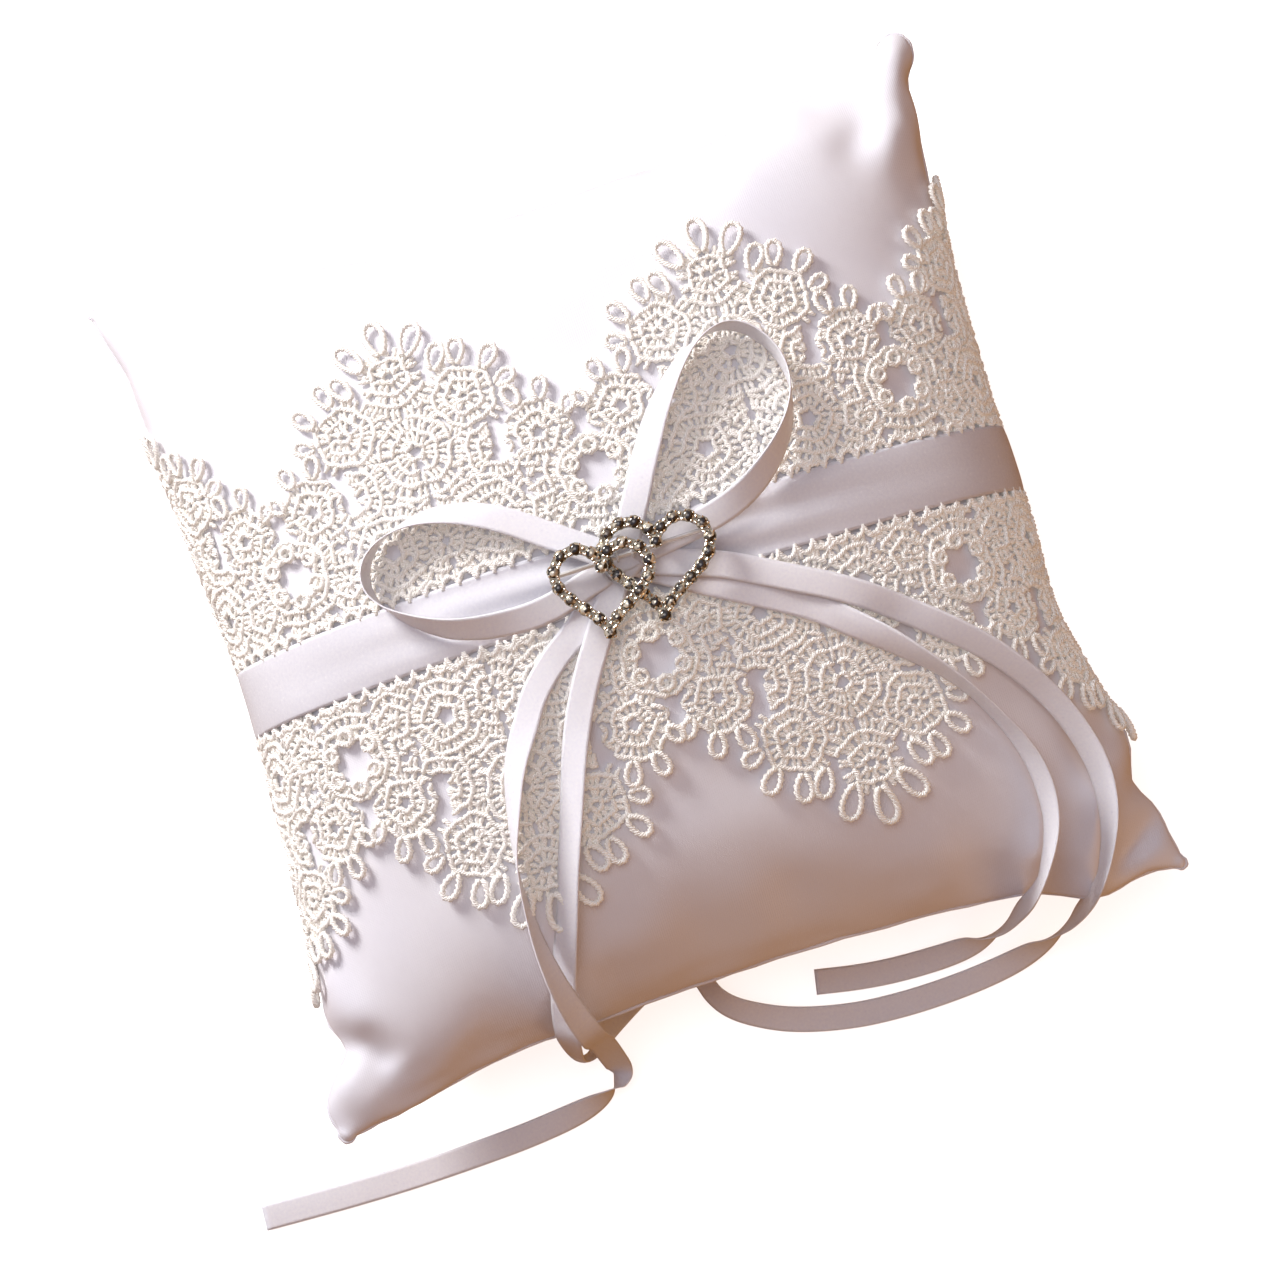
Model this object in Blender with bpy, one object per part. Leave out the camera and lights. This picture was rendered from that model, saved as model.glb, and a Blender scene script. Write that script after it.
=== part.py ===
"""Ring bearer pillow: satin cushion, wrapped guipure lace, satin band, ribbon bow, double heart buckle.

+X runs along the band, +Y points to the top seam of the face, +Z goes up through the thickness.
The pillow lies on its back on z = 0, with the origin below its middle. All sizes are in metres.
"""
import math

import bmesh
import bpy
from mathutils import Matrix, Vector

MM = 0.001

# Cushion
SIDE_X = 200 * MM  # corner to corner along the band
SIDE_Y = 200 * MM  # corner to corner across the band
FACE_HEIGHT = 39.6 * MM  # from the seam up to the middle of the face
BACK_DEPTH = 26.4 * MM  # from the seam down to the flattened back
PULL_X = 8.5 * MM  # how far the middle of a left or right edge is drawn in
PULL_Y = 8.5 * MM  # how far the middle of a top or bottom edge is drawn in
BACK_FLATNESS = 3  # power that flattens the side the pillow lies on
COVER_WALL = 0.6 * MM
SEAM_GAP = 0.3 * MM
FILL_CLEARANCE = 0.4 * MM
CELLS = 20  # mesh cells across the face, each way

# Lace wrapped round the cushion, and the band that presses it down
LACE_CLEARANCE = 0.7 * MM
LACE_THICKNESS = 1.1 * MM
LACE_TIP = 65 * MM  # from the middle of the band to a scallop's tip
LACE_VALLEY = 38 * MM  # from the middle of the band to the valley between scallops
LACE_REPEATS = 6  # scallops all the way round
LACE_ROWS = 4  # mesh rows from the band to a tip
WRAP_CELLS = 40  # mesh cells of the lace and the band, half way round
BAND_WIDTH = 15.5 * MM
BAND_THICKNESS = 0.4 * MM
BAND_CLEARANCE = 0.3 * MM
BAND_WAIST = 11 * MM  # the band's width where the bow gathers it
WAIST_REACH = 12 * MM
WRAP_END_GAP = 0.6 * MM  # between the two sewn ends at the middle of the back
FLAT_SNAP = 0.12 * MM  # what lies this near the table is pressed flat on it

# Bow ribbon
RIBBON_WIDTH = 6 * MM
RIBBON_THICKNESS = 0.3 * MM
RIBBON_STEP = 4 * MM  # distance between cross sections
KNOT_CENTRE = (-1 * MM, 0.5 * MM)
KNOT_RADIUS = 4.2 * MM
KNOT_HEIGHT = 2.1 * MM
KNOT_CLEARANCE = 0.2 * MM
KNOT_SIDES = 20

# Double heart buckle
BAR_RADIUS = 0.5 * MM
BAR_Y = 1.3 * MM
BAR_LEFT = -16.4 * MM
BAR_RIGHT = 18.2 * MM
BUCKLE_CLEARANCE = 0.2 * MM
FRAME_WIDTH = 2.2 * MM
FRAME_HEIGHT = 0.8 * MM
STONE_RADIUS = 1.3 * MM
STONE_TABLE = 0.75 * MM  # radius of a stone's flat top
STONE_HEIGHT = 0.8 * MM
STONE_SIDES = 8
STONE_CLEARANCE = 0.1 * MM
LARGE_HEART = {"centre": (6.4 * MM, -1.9 * MM), "width": 23.3 * MM, "turn": -11, "stones": 22, "cuts": 36}
SMALL_HEART = {"centre": (-6.3 * MM, -3.3 * MM), "width": 20.8 * MM, "turn": -10, "stones": 18, "cuts": 32}

# Stitches that tack the bar to the bow
THREAD_RADIUS = 0.25 * MM
THREAD_CLEARANCE = 0.15 * MM
STITCH_X = (-1.8 * MM, 1.6 * MM)

# Derived heights
WRAP_OFFSET = LACE_CLEARANCE + LACE_THICKNESS
SEAM_Z = BACK_DEPTH + SEAM_GAP / 2 + WRAP_OFFSET
FACE_TOP = SEAM_Z + SEAM_GAP / 2 + FACE_HEIGHT + WRAP_OFFSET
KNOT_TOP = FACE_TOP + KNOT_CLEARANCE + KNOT_HEIGHT
BAR_Z = KNOT_TOP + KNOT_CLEARANCE + BAR_RADIUS
LARGE_Z = BAR_Z + BAR_RADIUS + BUCKLE_CLEARANCE
HEART_RISE = FRAME_HEIGHT + STONE_CLEARANCE + STONE_HEIGHT + BUCKLE_CLEARANCE
SMALL_Z = LARGE_Z + HEART_RISE

# Routes of the ribbons, chosen by hand, each row: x and y in mm, the gap in mm between the ribbon
# and what it lies on, and the lean in degrees of its width, 0 flat and 90 on edge.
# A tail has a stretch on the cushion's face, and then one that drops to the table and lies on it.
LOOP_LEFT = (
    (-4.6, 3.2, 1.9, 0), (-9.8, 7.2, 1.9, 0), (-15.4, 11.5, 1.9, 0), (-21.3, 16, 1.9, 8),
    (-26.8, 19.3, 1.8, 20), (-32.3, 21.6, 1.5, 34), (-38, 22.8, 1, 50), (-43.3, 22.6, 0.6, 66),
    (-48.2, 21.2, 0.5, 78), (-51.8, 18.6, 0.4, 85), (-53.6, 15, 0.4, 88), (-53.5, 11, 0.4, 86),
    (-51.6, 7.2, 0.4, 80), (-48.5, 3.8, 0.4, 70), (-44.3, 0.6, 0.5, 58), (-39.5, -1.9, 0.7, 46),
    (-34, -3.6, 0.9, 36), (-28, -4.5, 1.1, 26), (-22, -4.7, 1.4, 16), (-16.3, -3.9, 1.4, 8),
    (-10.8, -2.4, 1.4, 2), (-5.3, -0.8, 1.4, 0),
)
LOOP_RIGHT = (
    (1.3, 4.4, 1.9, 0), (3.8, 8.7, 1.9, 0), (6.5, 13.2, 1.8, -4), (9.2, 18, 1.6, -12),
    (12, 22.5, 1.4, -20), (15, 27.2, 1.2, -30), (18.6, 32, 1, -42), (22.5, 36.3, 0.8, -54),
    (26.8, 39.8, 0.6, -66), (31.2, 42, 0.5, -76), (35.6, 42.6, 0.4, -84), (39.6, 40.8, 0.4, -88),
    (42.6, 37.2, 0.4, -88), (44.5, 32.6, 0.4, -86), (45, 27.5, 0.4, -80), (43.8, 22.3, 0.4, -70),
    (41, 17.3, 0.5, -58), (37, 12.6, 0.8, -44), (32, 8.6, 1.2, -30), (26.3, 5.6, 1.4, -18),
    (20, 3.6, 1.4, -8), (12, 2.3, 1.4, -2), (3.5, 1.2, 1.4, 0),
)
TAIL_LEFT_OUTER = (
    (-4.5, -2.3, 0.4, 0), (-9.8, -6.5, 0.4, 0), (-15.4, -11, 0.4, 0), (-20.5, -14.4, 0.4, 0),
    (-24.6, -17.8, 0.4, 4), (-28.3, -21.6, 0.4, 8), (-31.2, -26, 0.4, 15), (-34.5, -31, 0.4, 25),
    (-37, -36, 0.4, 38), (-39.5, -43, 0.4, 55), (-41.5, -50, 0.4, 72), (-42.7, -57, 0.4, 86),
    (-43.1, -64, 0.8, 98), (-42.9, -71, 2.2, 112), (-42.2, -78, 3.8, 128), (-41, -84, 4.2, 146),
    (-39.6, -89.5, 4, 163),
)
TAIL_LEFT_OUTER_TABLE = (
    (-38.2, -97.5, 27, 172), (-37.3, -101.5, 14, 182), (-36.9, -104.5, 5, 198),
    (-37.8, -106.8, 1.5, 235), (-40.7, -108.8, 0.6, 285), (-45.5, -110.4, 0.4, 320), (-53, -111.7, 0.4, 345),
    (-63, -112.6, 0.3, 356), (-73, -113, 0.3, 360), (-83, -113.2, 0.3, 360), (-94, -113.2, 0.3, 360),
    (-105, -112.9, 0.3, 360), (-116, -112.4, 0.3, 360), (-127, -111.8, 0.3, 360),
)
TAIL_LEFT_INNER = (
    (-3.6, -3.2, 0.9, 0), (-6.6, -7.5, 0.9, 0), (-9.6, -11.8, 0.9, 0), (-12.6, -16, 0.9, 0),
    (-15.3, -20, 0.9, 2), (-18, -24.5, 0.7, 6), (-20.7, -29.5, 0.5, 12), (-23.4, -35.3, 0.4, 20),
    (-26.2, -42.5, 0.4, 28), (-29, -49.5, 0.4, 34), (-31.8, -56.5, 0.4, 38), (-34.5, -63.5, 0.4, 40),
    (-37.2, -70, 0.4, 38), (-39.8, -76, 0.4, 32), (-42.2, -81.5, 0.4, 28), (-44, -86.5, 0.4, 32),
    (-45, -90.5, 0.5, 40),
)
TAIL_LEFT_INNER_TABLE = (
    (-45.4, -97, 22, 48), (-44.8, -98.6, 12, 46), (-42.5, -98.4, 5, 38),
    (-39, -96, 1.5, 25), (-34, -92.8, 0.5, 10), (-27, -89, 0.3, 0), (-19, -85.5, 0.3, 0),
    (-11, -82.5, 0.3, 0), (-4, -80, 0.3, 0),
)
TAIL_RIGHT_OUTER = (
    (3.2, -1, 0.9, 0), (8.7, -3, 0.9, 0), (14.3, -5, 0.9, 0), (19.9, -7.2, 0.9, 0), (26, -10.4, 1, 0),
    (32.5, -14, 1.4, 0), (39.4, -17.8, 1.6, 2), (46.5, -22.3, 1.5, 6), (53.2, -27.3, 0.5, 14),
    (59, -32, 0.4, 24), (64.5, -37, 0.4, 36), (69.5, -42.3, 0.4, 46), (73.8, -48, 0.4, 54),
    (77.5, -54, 0.4, 58), (80.6, -60.5, 0.4, 60), (82.8, -67.5, 0.4, 62), (83.8, -74.5, 0.4, 66),
    (83.3, -81.5, 0.6, 74), (81.3, -88, 0.8, 86), (78.2, -93.5, 1.5, 100),
)
TAIL_RIGHT_OUTER_TABLE = (
    (74.2, -102.5, 22, 116), (70.6, -105.2, 12, 130), (66.2, -107.4, 5, 143), (61, -109, 1.5, 155),
    (55, -110, 0.5, 165), (47.5, -110.7, 0.4, 172), (39, -111, 0.3, 176), (30, -110.8, 0.3, 178), (21, -110, 0.3, 178),
    (12, -108.2, 0.3, 175), (4, -105.7, 0.3, 168), (-2.5, -102.5, 0.3, 160), (-7.5, -99, 0.3, 150),
    (-10.5, -95.2, 0.3, 140), (-12, -91, 0.3, 135),
)
TAIL_RIGHT_INNER = (
    (2.9, -1.8, 0.4, 0), (7.6, -4.9, 0.4, 0), (12.6, -8, 0.4, 0), (17.8, -11, 0.4, 0), (23, -14, 0.4, 0),
    (28.5, -17.2, 0.4, 0), (34.5, -20.9, 0.4, 0), (40.5, -25.8, 0.4, 14), (46.5, -31.3, 0.4, 38),
    (52, -36.8, 0.4, 60), (57, -42.3, 0.4, 76), (61.5, -48.3, 0.4, 84), (65.3, -54.5, 0.4, 82),
    (68.3, -60.7, 0.4, 76), (70.4, -67, 0.4, 70), (71.2, -73.3, 0.4, 70), (70.5, -79.5, 0.5, 78),
    (68.2, -85.3, 0.6, 90), (64.8, -90.3, 1, 104),
)
TAIL_RIGHT_INNER_TABLE = (
    (60.5, -98.5, 24, 118), (56.5, -101, 13, 134),
    (51.5, -102.4, 5, 150), (45.5, -103, 1.5, 164), (38, -103, 0.5, 174), (30, -102.5, 0.3, 178),
    (22, -101.4, 0.3, 178), (13, -99.6, 0.3, 176),
)


def clear_scene():
    for thing in list(bpy.data.objects):
        bpy.data.objects.remove(thing, do_unlink=True)


def material(name, colour, roughness, metallic=0.0):
    made = bpy.data.materials.new(name)
    made.use_nodes = True
    shader = made.node_tree.nodes["Principled BSDF"]
    shader.inputs["Base Color"].default_value = (*colour, 1)
    shader.inputs["Roughness"].default_value = roughness
    shader.inputs["Metallic"].default_value = metallic
    return made


def add_object(name, mesh, finish):
    made = bpy.data.objects.new(name, mesh)
    mesh.materials.clear()
    mesh.materials.append(finish)
    bpy.context.collection.objects.link(made)
    return made


def face_outwards(bm):
    """Turn the faces of one closed body the same way, and then out."""
    bmesh.ops.recalc_face_normals(bm, faces=bm.faces)
    if bm.calc_volume(signed=True) < 0:
        bmesh.ops.reverse_faces(bm, faces=bm.faces)


def mesh_from(name, bm, sharp_degrees=40):
    """Turn a bmesh into a mesh with its faces pointing out and its round sides smooth."""
    face_outwards(bm)
    mesh = bpy.data.meshes.new(name)
    bm.to_mesh(mesh)
    bm.free()
    mesh.shade_smooth()
    mesh.set_sharp_from_angle(angle=math.radians(sharp_degrees))
    return mesh


def sweep_mesh(name, loops, closed=False, strip=False):
    """A solid through equal loops of points, capped at both ends unless it closes on itself.

    On a thin twisted strip the upper and lower skins are split along the same diagonals.
    """
    bm = bmesh.new()
    rings = [[bm.verts.new(point) for point in loop] for loop in loops]
    pairs = list(zip(rings, rings[1:]))
    if closed:
        pairs.append((rings[-1], rings[0]))
    for near, far in pairs:
        for k in range(len(near)):
            nxt = (k + 1) % len(near)
            if not strip:
                bm.faces.new((near[k], near[nxt], far[nxt], far[k]))
            elif k == 2:
                bm.faces.new((near[k], near[nxt], far[k]))
                bm.faces.new((near[nxt], far[nxt], far[k]))
            else:
                bm.faces.new((near[k], near[nxt], far[nxt]))
                bm.faces.new((near[k], far[nxt], far[k]))
    if not closed:
        bm.faces.new(rings[0])
        bm.faces.new(rings[-1])
    return mesh_from(name, bm)


def cushion_point(alpha, beta, inset=0.0, parting=0.0):
    """A point of the cushion's skin, moved inwards by inset and away from the seam by parting.

    alpha goes round the cushion along X: 0 is the middle of the face, 90 degrees the right seam,
    180 degrees the middle of the back. beta goes from the bottom seam, -90, to the top seam, 90.
    """
    x = math.sin(alpha) * (SIDE_X / 2 - inset - PULL_X * math.cos(beta) ** 2)
    y = math.sin(beta) * (SIDE_Y / 2 - inset - PULL_Y * math.cos(alpha) ** 2)
    swell = math.cos(alpha) * math.cos(beta)
    if swell >= 0:
        return Vector((x, y, SEAM_Z + parting + (FACE_HEIGHT - inset) * swell))
    flat = 1 - (1 + swell) ** BACK_FLATNESS
    return Vector((x, y, SEAM_Z + parting - (BACK_DEPTH - inset) * flat))


def cushion_normal(alpha, beta):
    step = 0.0005
    along = cushion_point(alpha + step, beta) - cushion_point(alpha - step, beta)
    across = cushion_point(alpha, beta + step) - cushion_point(alpha, beta - step)
    return along.cross(across).normalized()


def grid_angles():
    return [math.pi * (k / CELLS - 0.5) for k in range(CELLS + 1)]


def skin_rows(inset, parting, turn):
    """Points of one half of the skin; turn is 0 for the face and pi for the back."""
    angles = grid_angles()
    if turn:
        return [[cushion_point(turn - a, b, inset, parting) for b in angles] for a in angles]
    return [[cushion_point(a, b, inset, parting) for b in angles] for a in angles]


def add_grid(bm, rows):
    verts = [[bm.verts.new(point) for point in row] for row in rows]
    for near, far in zip(verts, verts[1:]):
        for k in range(len(near) - 1):
            bm.faces.new((near[k], far[k], far[k + 1], near[k + 1]))
    return verts


def grid_rim(verts):
    bottom = [row[0] for row in verts]
    right = verts[-1][1:]
    top = [row[-1] for row in reversed(verts[:-1])]
    left = list(reversed(verts[0][1:-1]))
    return bottom + right + top + left


def join_rims(bm, first, second):
    for k in range(len(first)):
        nxt = (k + 1) % len(first)
        bm.faces.new((first[k], first[nxt], second[nxt], second[k]))


def cover_half(name, turn, finish):
    """One satin panel: a thin dished shell, open at the seam, where it meets the other panel."""
    bm = bmesh.new()
    parting = -SEAM_GAP / 2 if turn else SEAM_GAP / 2
    outer = add_grid(bm, skin_rows(0.0, parting, turn))
    inner = add_grid(bm, skin_rows(COVER_WALL, parting, turn))
    join_rims(bm, grid_rim(outer), grid_rim(inner))
    return add_object(name, mesh_from(name, bm), finish)


def fibre_fill(finish):
    """The stuffing, one plump body just inside the cover."""
    inset = COVER_WALL + FILL_CLEARANCE
    bm = bmesh.new()
    face = add_grid(bm, skin_rows(inset, 0.0, 0))
    back = add_grid(bm, skin_rows(inset, 0.0, math.pi))
    for one, other in zip(grid_rim(face), grid_rim(back)):
        bmesh.ops.weld_verts(bm, targetmap={other: one})
    return add_object("fibre_fill", mesh_from("fibre_fill", bm), finish)


def wrap_columns():
    """Angles round the cushion for the lace and the band, from one sewn end to the other."""
    step = math.pi / WRAP_CELLS
    end = math.pi - WRAP_END_GAP / SIDE_X
    inner = [step * k for k in range(1 - WRAP_CELLS, WRAP_CELLS)]
    return [-end] + inner + [end]


def wrap_point(alpha, y, offset):
    """A point at height y along the pillow, offset outwards from the skin and pressed flat below."""
    reach = SIDE_Y / 2 - PULL_Y * math.cos(alpha) ** 2
    beta = math.asin(y / reach)
    side = round(math.copysign(1, math.cos(alpha))) if abs(math.cos(alpha)) > 1e-9 else 0
    point = cushion_point(alpha, beta, parting=side * SEAM_GAP / 2)
    point += cushion_normal(alpha, beta) * offset
    if point.z < FLAT_SNAP:
        point.z = 0.0
    return point


def girth_share(alpha):
    """Share of the way round the cushion from the middle of the face, 0 to 0.5 on each side."""
    steps = 40
    total = 0.0
    wanted = 0.0
    last = cushion_point(0, 0)
    for k in range(1, steps + 1):
        point = cushion_point(math.pi * k / steps, 0)
        total += (point - last).length
        if k <= round(abs(alpha) / math.pi * steps):
            wanted = total
        last = point
    return wanted / total / 2


def scallop_half_width(alpha):
    """Half the lace's width: valleys at the middle of the face, tips half a repeat away."""
    phase = 2 * math.pi * LACE_REPEATS * girth_share(alpha)
    return LACE_VALLEY + (LACE_TIP - LACE_VALLEY) * (1 - math.cos(phase)) / 2


def band_half_width(alpha):
    """Half the band's width, drawn in where the bow gathers it at the middle of the face."""
    if math.cos(alpha) <= 0:
        return BAND_WIDTH / 2
    x = math.sin(alpha) * SIDE_X / 2
    pinch = math.exp(-((x / WAIST_REACH) ** 2))
    return (BAND_WIDTH - (BAND_WIDTH - BAND_WAIST) * pinch) / 2


def lace_band(finish):
    """The lace as one scalloped sleeve, with a pressed channel where the band lies on it."""
    channel = WRAP_OFFSET - BAND_THICKNESS - BAND_CLEARANCE
    loops = []
    for alpha in wrap_columns():
        low = band_half_width(alpha) + BAND_CLEARANCE
        high = scallop_half_width(alpha)
        rows = [low + (high - low) * k / LACE_ROWS for k in range(LACE_ROWS + 1)]
        outer = [(y, WRAP_OFFSET) for y in reversed(rows)] + [(low, channel), (0.0, channel)]
        outer += [(-low, channel)] + [(-y, WRAP_OFFSET) for y in rows]
        under = [(-y, LACE_CLEARANCE) for y in reversed(rows)] + [(0.0, LACE_CLEARANCE)]
        under += [(y, LACE_CLEARANCE) for y in rows]
        loops.append([wrap_point(alpha, y, offset) for y, offset in outer + under])
    return add_object("lace_band", sweep_mesh("lace_band", loops), finish)


def satin_band(finish):
    """The wide ribbon round the middle, lying in the lace's pressed channel."""
    loops = []
    for alpha in wrap_columns():
        half = band_half_width(alpha)
        section = [(y, WRAP_OFFSET) for y in (half, 0.0, -half)]
        section += [(y, WRAP_OFFSET - BAND_THICKNESS) for y in (-half, 0.0, half)]
        loops.append([wrap_point(alpha, y, offset) for y, offset in section])
    return add_object("satin_band", sweep_mesh("satin_band", loops), finish)


def skin_angles(x, y):
    """The angles of the face's point above x and y."""
    sine_a = x / (SIDE_X / 2)
    sine_b = y / (SIDE_Y / 2)
    for _ in range(40):
        sine_a = min(1.0, max(-1.0, x / (SIDE_X / 2 - PULL_X * (1 - sine_b ** 2))))
        sine_b = min(1.0, max(-1.0, y / (SIDE_Y / 2 - PULL_Y * (1 - sine_a ** 2))))
    return math.asin(sine_a), math.asin(sine_b)


def ribbon_rise(gap, lean):
    """Height of a ribbon's middle over what it lies on."""
    return gap * MM + (RIBBON_WIDTH * abs(math.sin(math.radians(lean))) + RIBBON_THICKNESS) / 2


def face_station(x, y, gap, lean):
    """Where a ribbon's middle runs over the cushion, and the direction away from the skin."""
    angles = skin_angles(x * MM, y * MM)
    away = cushion_normal(*angles)
    skin = cushion_point(*angles, parting=SEAM_GAP / 2)
    return skin + away * (WRAP_OFFSET + ribbon_rise(gap, lean)), away


def table_station(x, y, gap, lean):
    """The same past the cushion's bottom edge: away swings from the edge's side up to vertical."""
    hang = min(1.0, gap * MM / SEAM_Z)
    away = Vector((0, -hang, 1 - hang)).normalized()
    return Vector((x * MM, y * MM, ribbon_rise(gap, lean))), away


def spline(values, share):
    """Catmull-Rom through values, which are numbers or vectors; share runs from 0 to 1."""
    place = share * (len(values) - 1)
    k = min(int(place), len(values) - 2)
    t = place - k
    first = values[k - 1] if k > 0 else 2 * values[k] - values[k + 1]
    last = values[k + 2] if k + 2 < len(values) else 2 * values[k + 1] - values[k]
    bend = 2 * first - 5 * values[k] + 4 * values[k + 1] - last
    turn = 3 * values[k] - first - 3 * values[k + 1] + last
    return (2 * values[k] + (values[k + 1] - first) * t + bend * t ** 2 + turn * t ** 3) / 2


def ribbon(name, face_route, table_route, finish):
    """A flat ribbon along its route, leaning and turning over as the route says."""
    stations = [face_station(*row) for row in face_route] + [table_station(*row) for row in table_route]
    places = [place for place, _ in stations]
    aways = [away for _, away in stations]
    leans = [math.radians(row[3]) for row in face_route + table_route]
    length = sum((b - a).length for a, b in zip(places, places[1:]))
    cuts = round(length / RIBBON_STEP)
    loops = []
    for k in range(cuts + 1):
        share = k / cuts
        ahead = spline(places, min(1.0, share + 0.002)) - spline(places, max(0.0, share - 0.002))
        forward = ahead.normalized()
        side = spline(aways, share).cross(forward).normalized()
        lean = spline(leans, share)
        wide = side * math.cos(lean) + forward.cross(side) * math.sin(lean)
        thick = forward.cross(wide) * RIBBON_THICKNESS / 2
        wide = wide * RIBBON_WIDTH / 2
        middle = spline(places, share)
        loops.append([middle - wide - thick, middle + wide - thick, middle + wide + thick, middle - wide + thick])
    return add_object(name, sweep_mesh(name, loops, strip=True), finish)


def bow_knot(finish):
    """The gathered crossing of the ribbons, a low round pad that every ribbon starts from."""
    bm = bmesh.new()
    place = Matrix.Translation((*KNOT_CENTRE, FACE_TOP + KNOT_CLEARANCE + KNOT_HEIGHT / 2))
    bmesh.ops.create_cone(
        bm, cap_ends=True, segments=KNOT_SIDES, radius1=KNOT_RADIUS, radius2=KNOT_RADIUS,
        depth=KNOT_HEIGHT, matrix=place,
    )
    rims = [edge for edge in bm.edges if len({round(v.co.z, 6) for v in edge.verts}) == 1]
    bmesh.ops.bevel(bm, geom=rims, offset=0.5 * MM, segments=1, affect="EDGES")
    return add_object("bow_knot", mesh_from("bow_knot", bm, 60), finish)


def heart_curve(heart, count):
    """Points evenly spaced along a heart outline, from its notch round to its notch."""
    fine = 720
    scale = heart["width"] / 32
    turn = Matrix.Rotation(math.radians(heart["turn"]), 3, "Z")
    points = []
    for k in range(fine):
        t = 2 * math.pi * k / fine
        wave = 13 * math.cos(t) - 5 * math.cos(2 * t) - 2 * math.cos(3 * t) - math.cos(4 * t)
        points.append(turn @ Vector((16 * scale * math.sin(t) ** 3, scale * wave, 0)))
    lengths = [(points[(k + 1) % fine] - points[k]).length for k in range(fine)]
    pitch = sum(lengths) / count
    chosen = []
    travelled = 0.0
    for point, length in zip(points, lengths):
        if len(chosen) < count and travelled >= len(chosen) * pitch - 1e-9:
            chosen.append(point + Vector((*heart["centre"], 0)))
        travelled += length
    return chosen


def heart_frame(name, heart, base, finish):
    """The flat metal outline that carries the stones."""
    path = heart_curve(heart, heart["cuts"])
    count = len(path)
    loops = []
    for k, point in enumerate(path):
        forward = (path[(k + 1) % count] - path[k - 1]).normalized()
        out = Vector((forward.y, -forward.x, 0)) * FRAME_WIDTH / 2
        low = Vector((0, 0, base))
        high = Vector((0, 0, base + FRAME_HEIGHT))
        loops.append([point - out + low, point + out + low, point + out + high, point - out + high])
    return add_object(name, sweep_mesh(name, loops, closed=True), finish)


def stone_mesh(name):
    bm = bmesh.new()
    bmesh.ops.create_cone(
        bm, cap_ends=True, segments=STONE_SIDES, radius1=STONE_RADIUS, radius2=STONE_TABLE, depth=STONE_HEIGHT
    )
    face_outwards(bm)
    mesh = bpy.data.meshes.new(name)
    bm.to_mesh(mesh)
    bm.free()
    return mesh


def heart_stones(prefix, heart, base, mesh, finish):
    """Rhinestones in a row on a heart frame."""
    made = []
    z = base + FRAME_HEIGHT + STONE_CLEARANCE + STONE_HEIGHT / 2
    for k, point in enumerate(heart_curve(heart, heart["stones"])):
        stone = add_object(f"{prefix}_{k + 1:02d}", mesh, finish)
        stone.location = (point.x, point.y, z)
        made.append(stone)
    return made


def wire(name, points, radius, finish):
    """A round wire or thread through its points, with filled ends."""
    curve = bpy.data.curves.new(name, "CURVE")
    curve.dimensions = "3D"
    curve.bevel_depth = radius
    curve.bevel_resolution = 2
    curve.use_fill_caps = True
    line = curve.splines.new("POLY")
    line.points.add(len(points) - 1)
    for spot, point in zip(line.points, points):
        spot.co = (*point, 1)
    made = bpy.data.objects.new(name, curve)
    curve.materials.append(finish)
    bpy.context.collection.objects.link(made)
    return made


def buckle_bar(finish):
    """The bar behind both hearts, turned up at its left end to reach the upper heart."""
    tip = HEART_RISE
    bend = 0.8 * MM
    points = [
        (BAR_RIGHT, BAR_Y, BAR_Z),
        (BAR_LEFT + bend, BAR_Y, BAR_Z),
        (BAR_LEFT + bend * 0.3, BAR_Y, BAR_Z + bend * 0.3),
        (BAR_LEFT, BAR_Y, BAR_Z + bend),
        (BAR_LEFT, BAR_Y, BAR_Z + BAR_RADIUS + tip),
    ]
    return wire("buckle_bar", points, BAR_RADIUS, finish)


def tack_stitch(name, x, finish):
    """A loop of thread over the bar, with both legs down on the knot."""
    reach = BAR_RADIUS + THREAD_CLEARANCE + THREAD_RADIUS
    foot = KNOT_TOP + THREAD_CLEARANCE
    arc = [math.radians(a) for a in range(0, 181, 20)]
    points = [(x, BAR_Y + reach, foot)]
    points += [(x, BAR_Y + reach * math.cos(a), BAR_Z + reach * math.sin(a)) for a in arc]
    points += [(x, BAR_Y - reach, foot)]
    return wire(name, points, THREAD_RADIUS, finish)


def hinge_on_bar(pieces):
    """Hang the buckle's pieces on an empty that lies on the bar's axis."""
    pivot = bpy.data.objects.new("buckle_pivot", None)
    pivot.location = (0, BAR_Y, BAR_Z)
    bpy.context.collection.objects.link(pivot)
    for piece in pieces:
        piece.parent = pivot
        piece.matrix_parent_inverse = Matrix.Translation((0, -BAR_Y, -BAR_Z))


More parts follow.
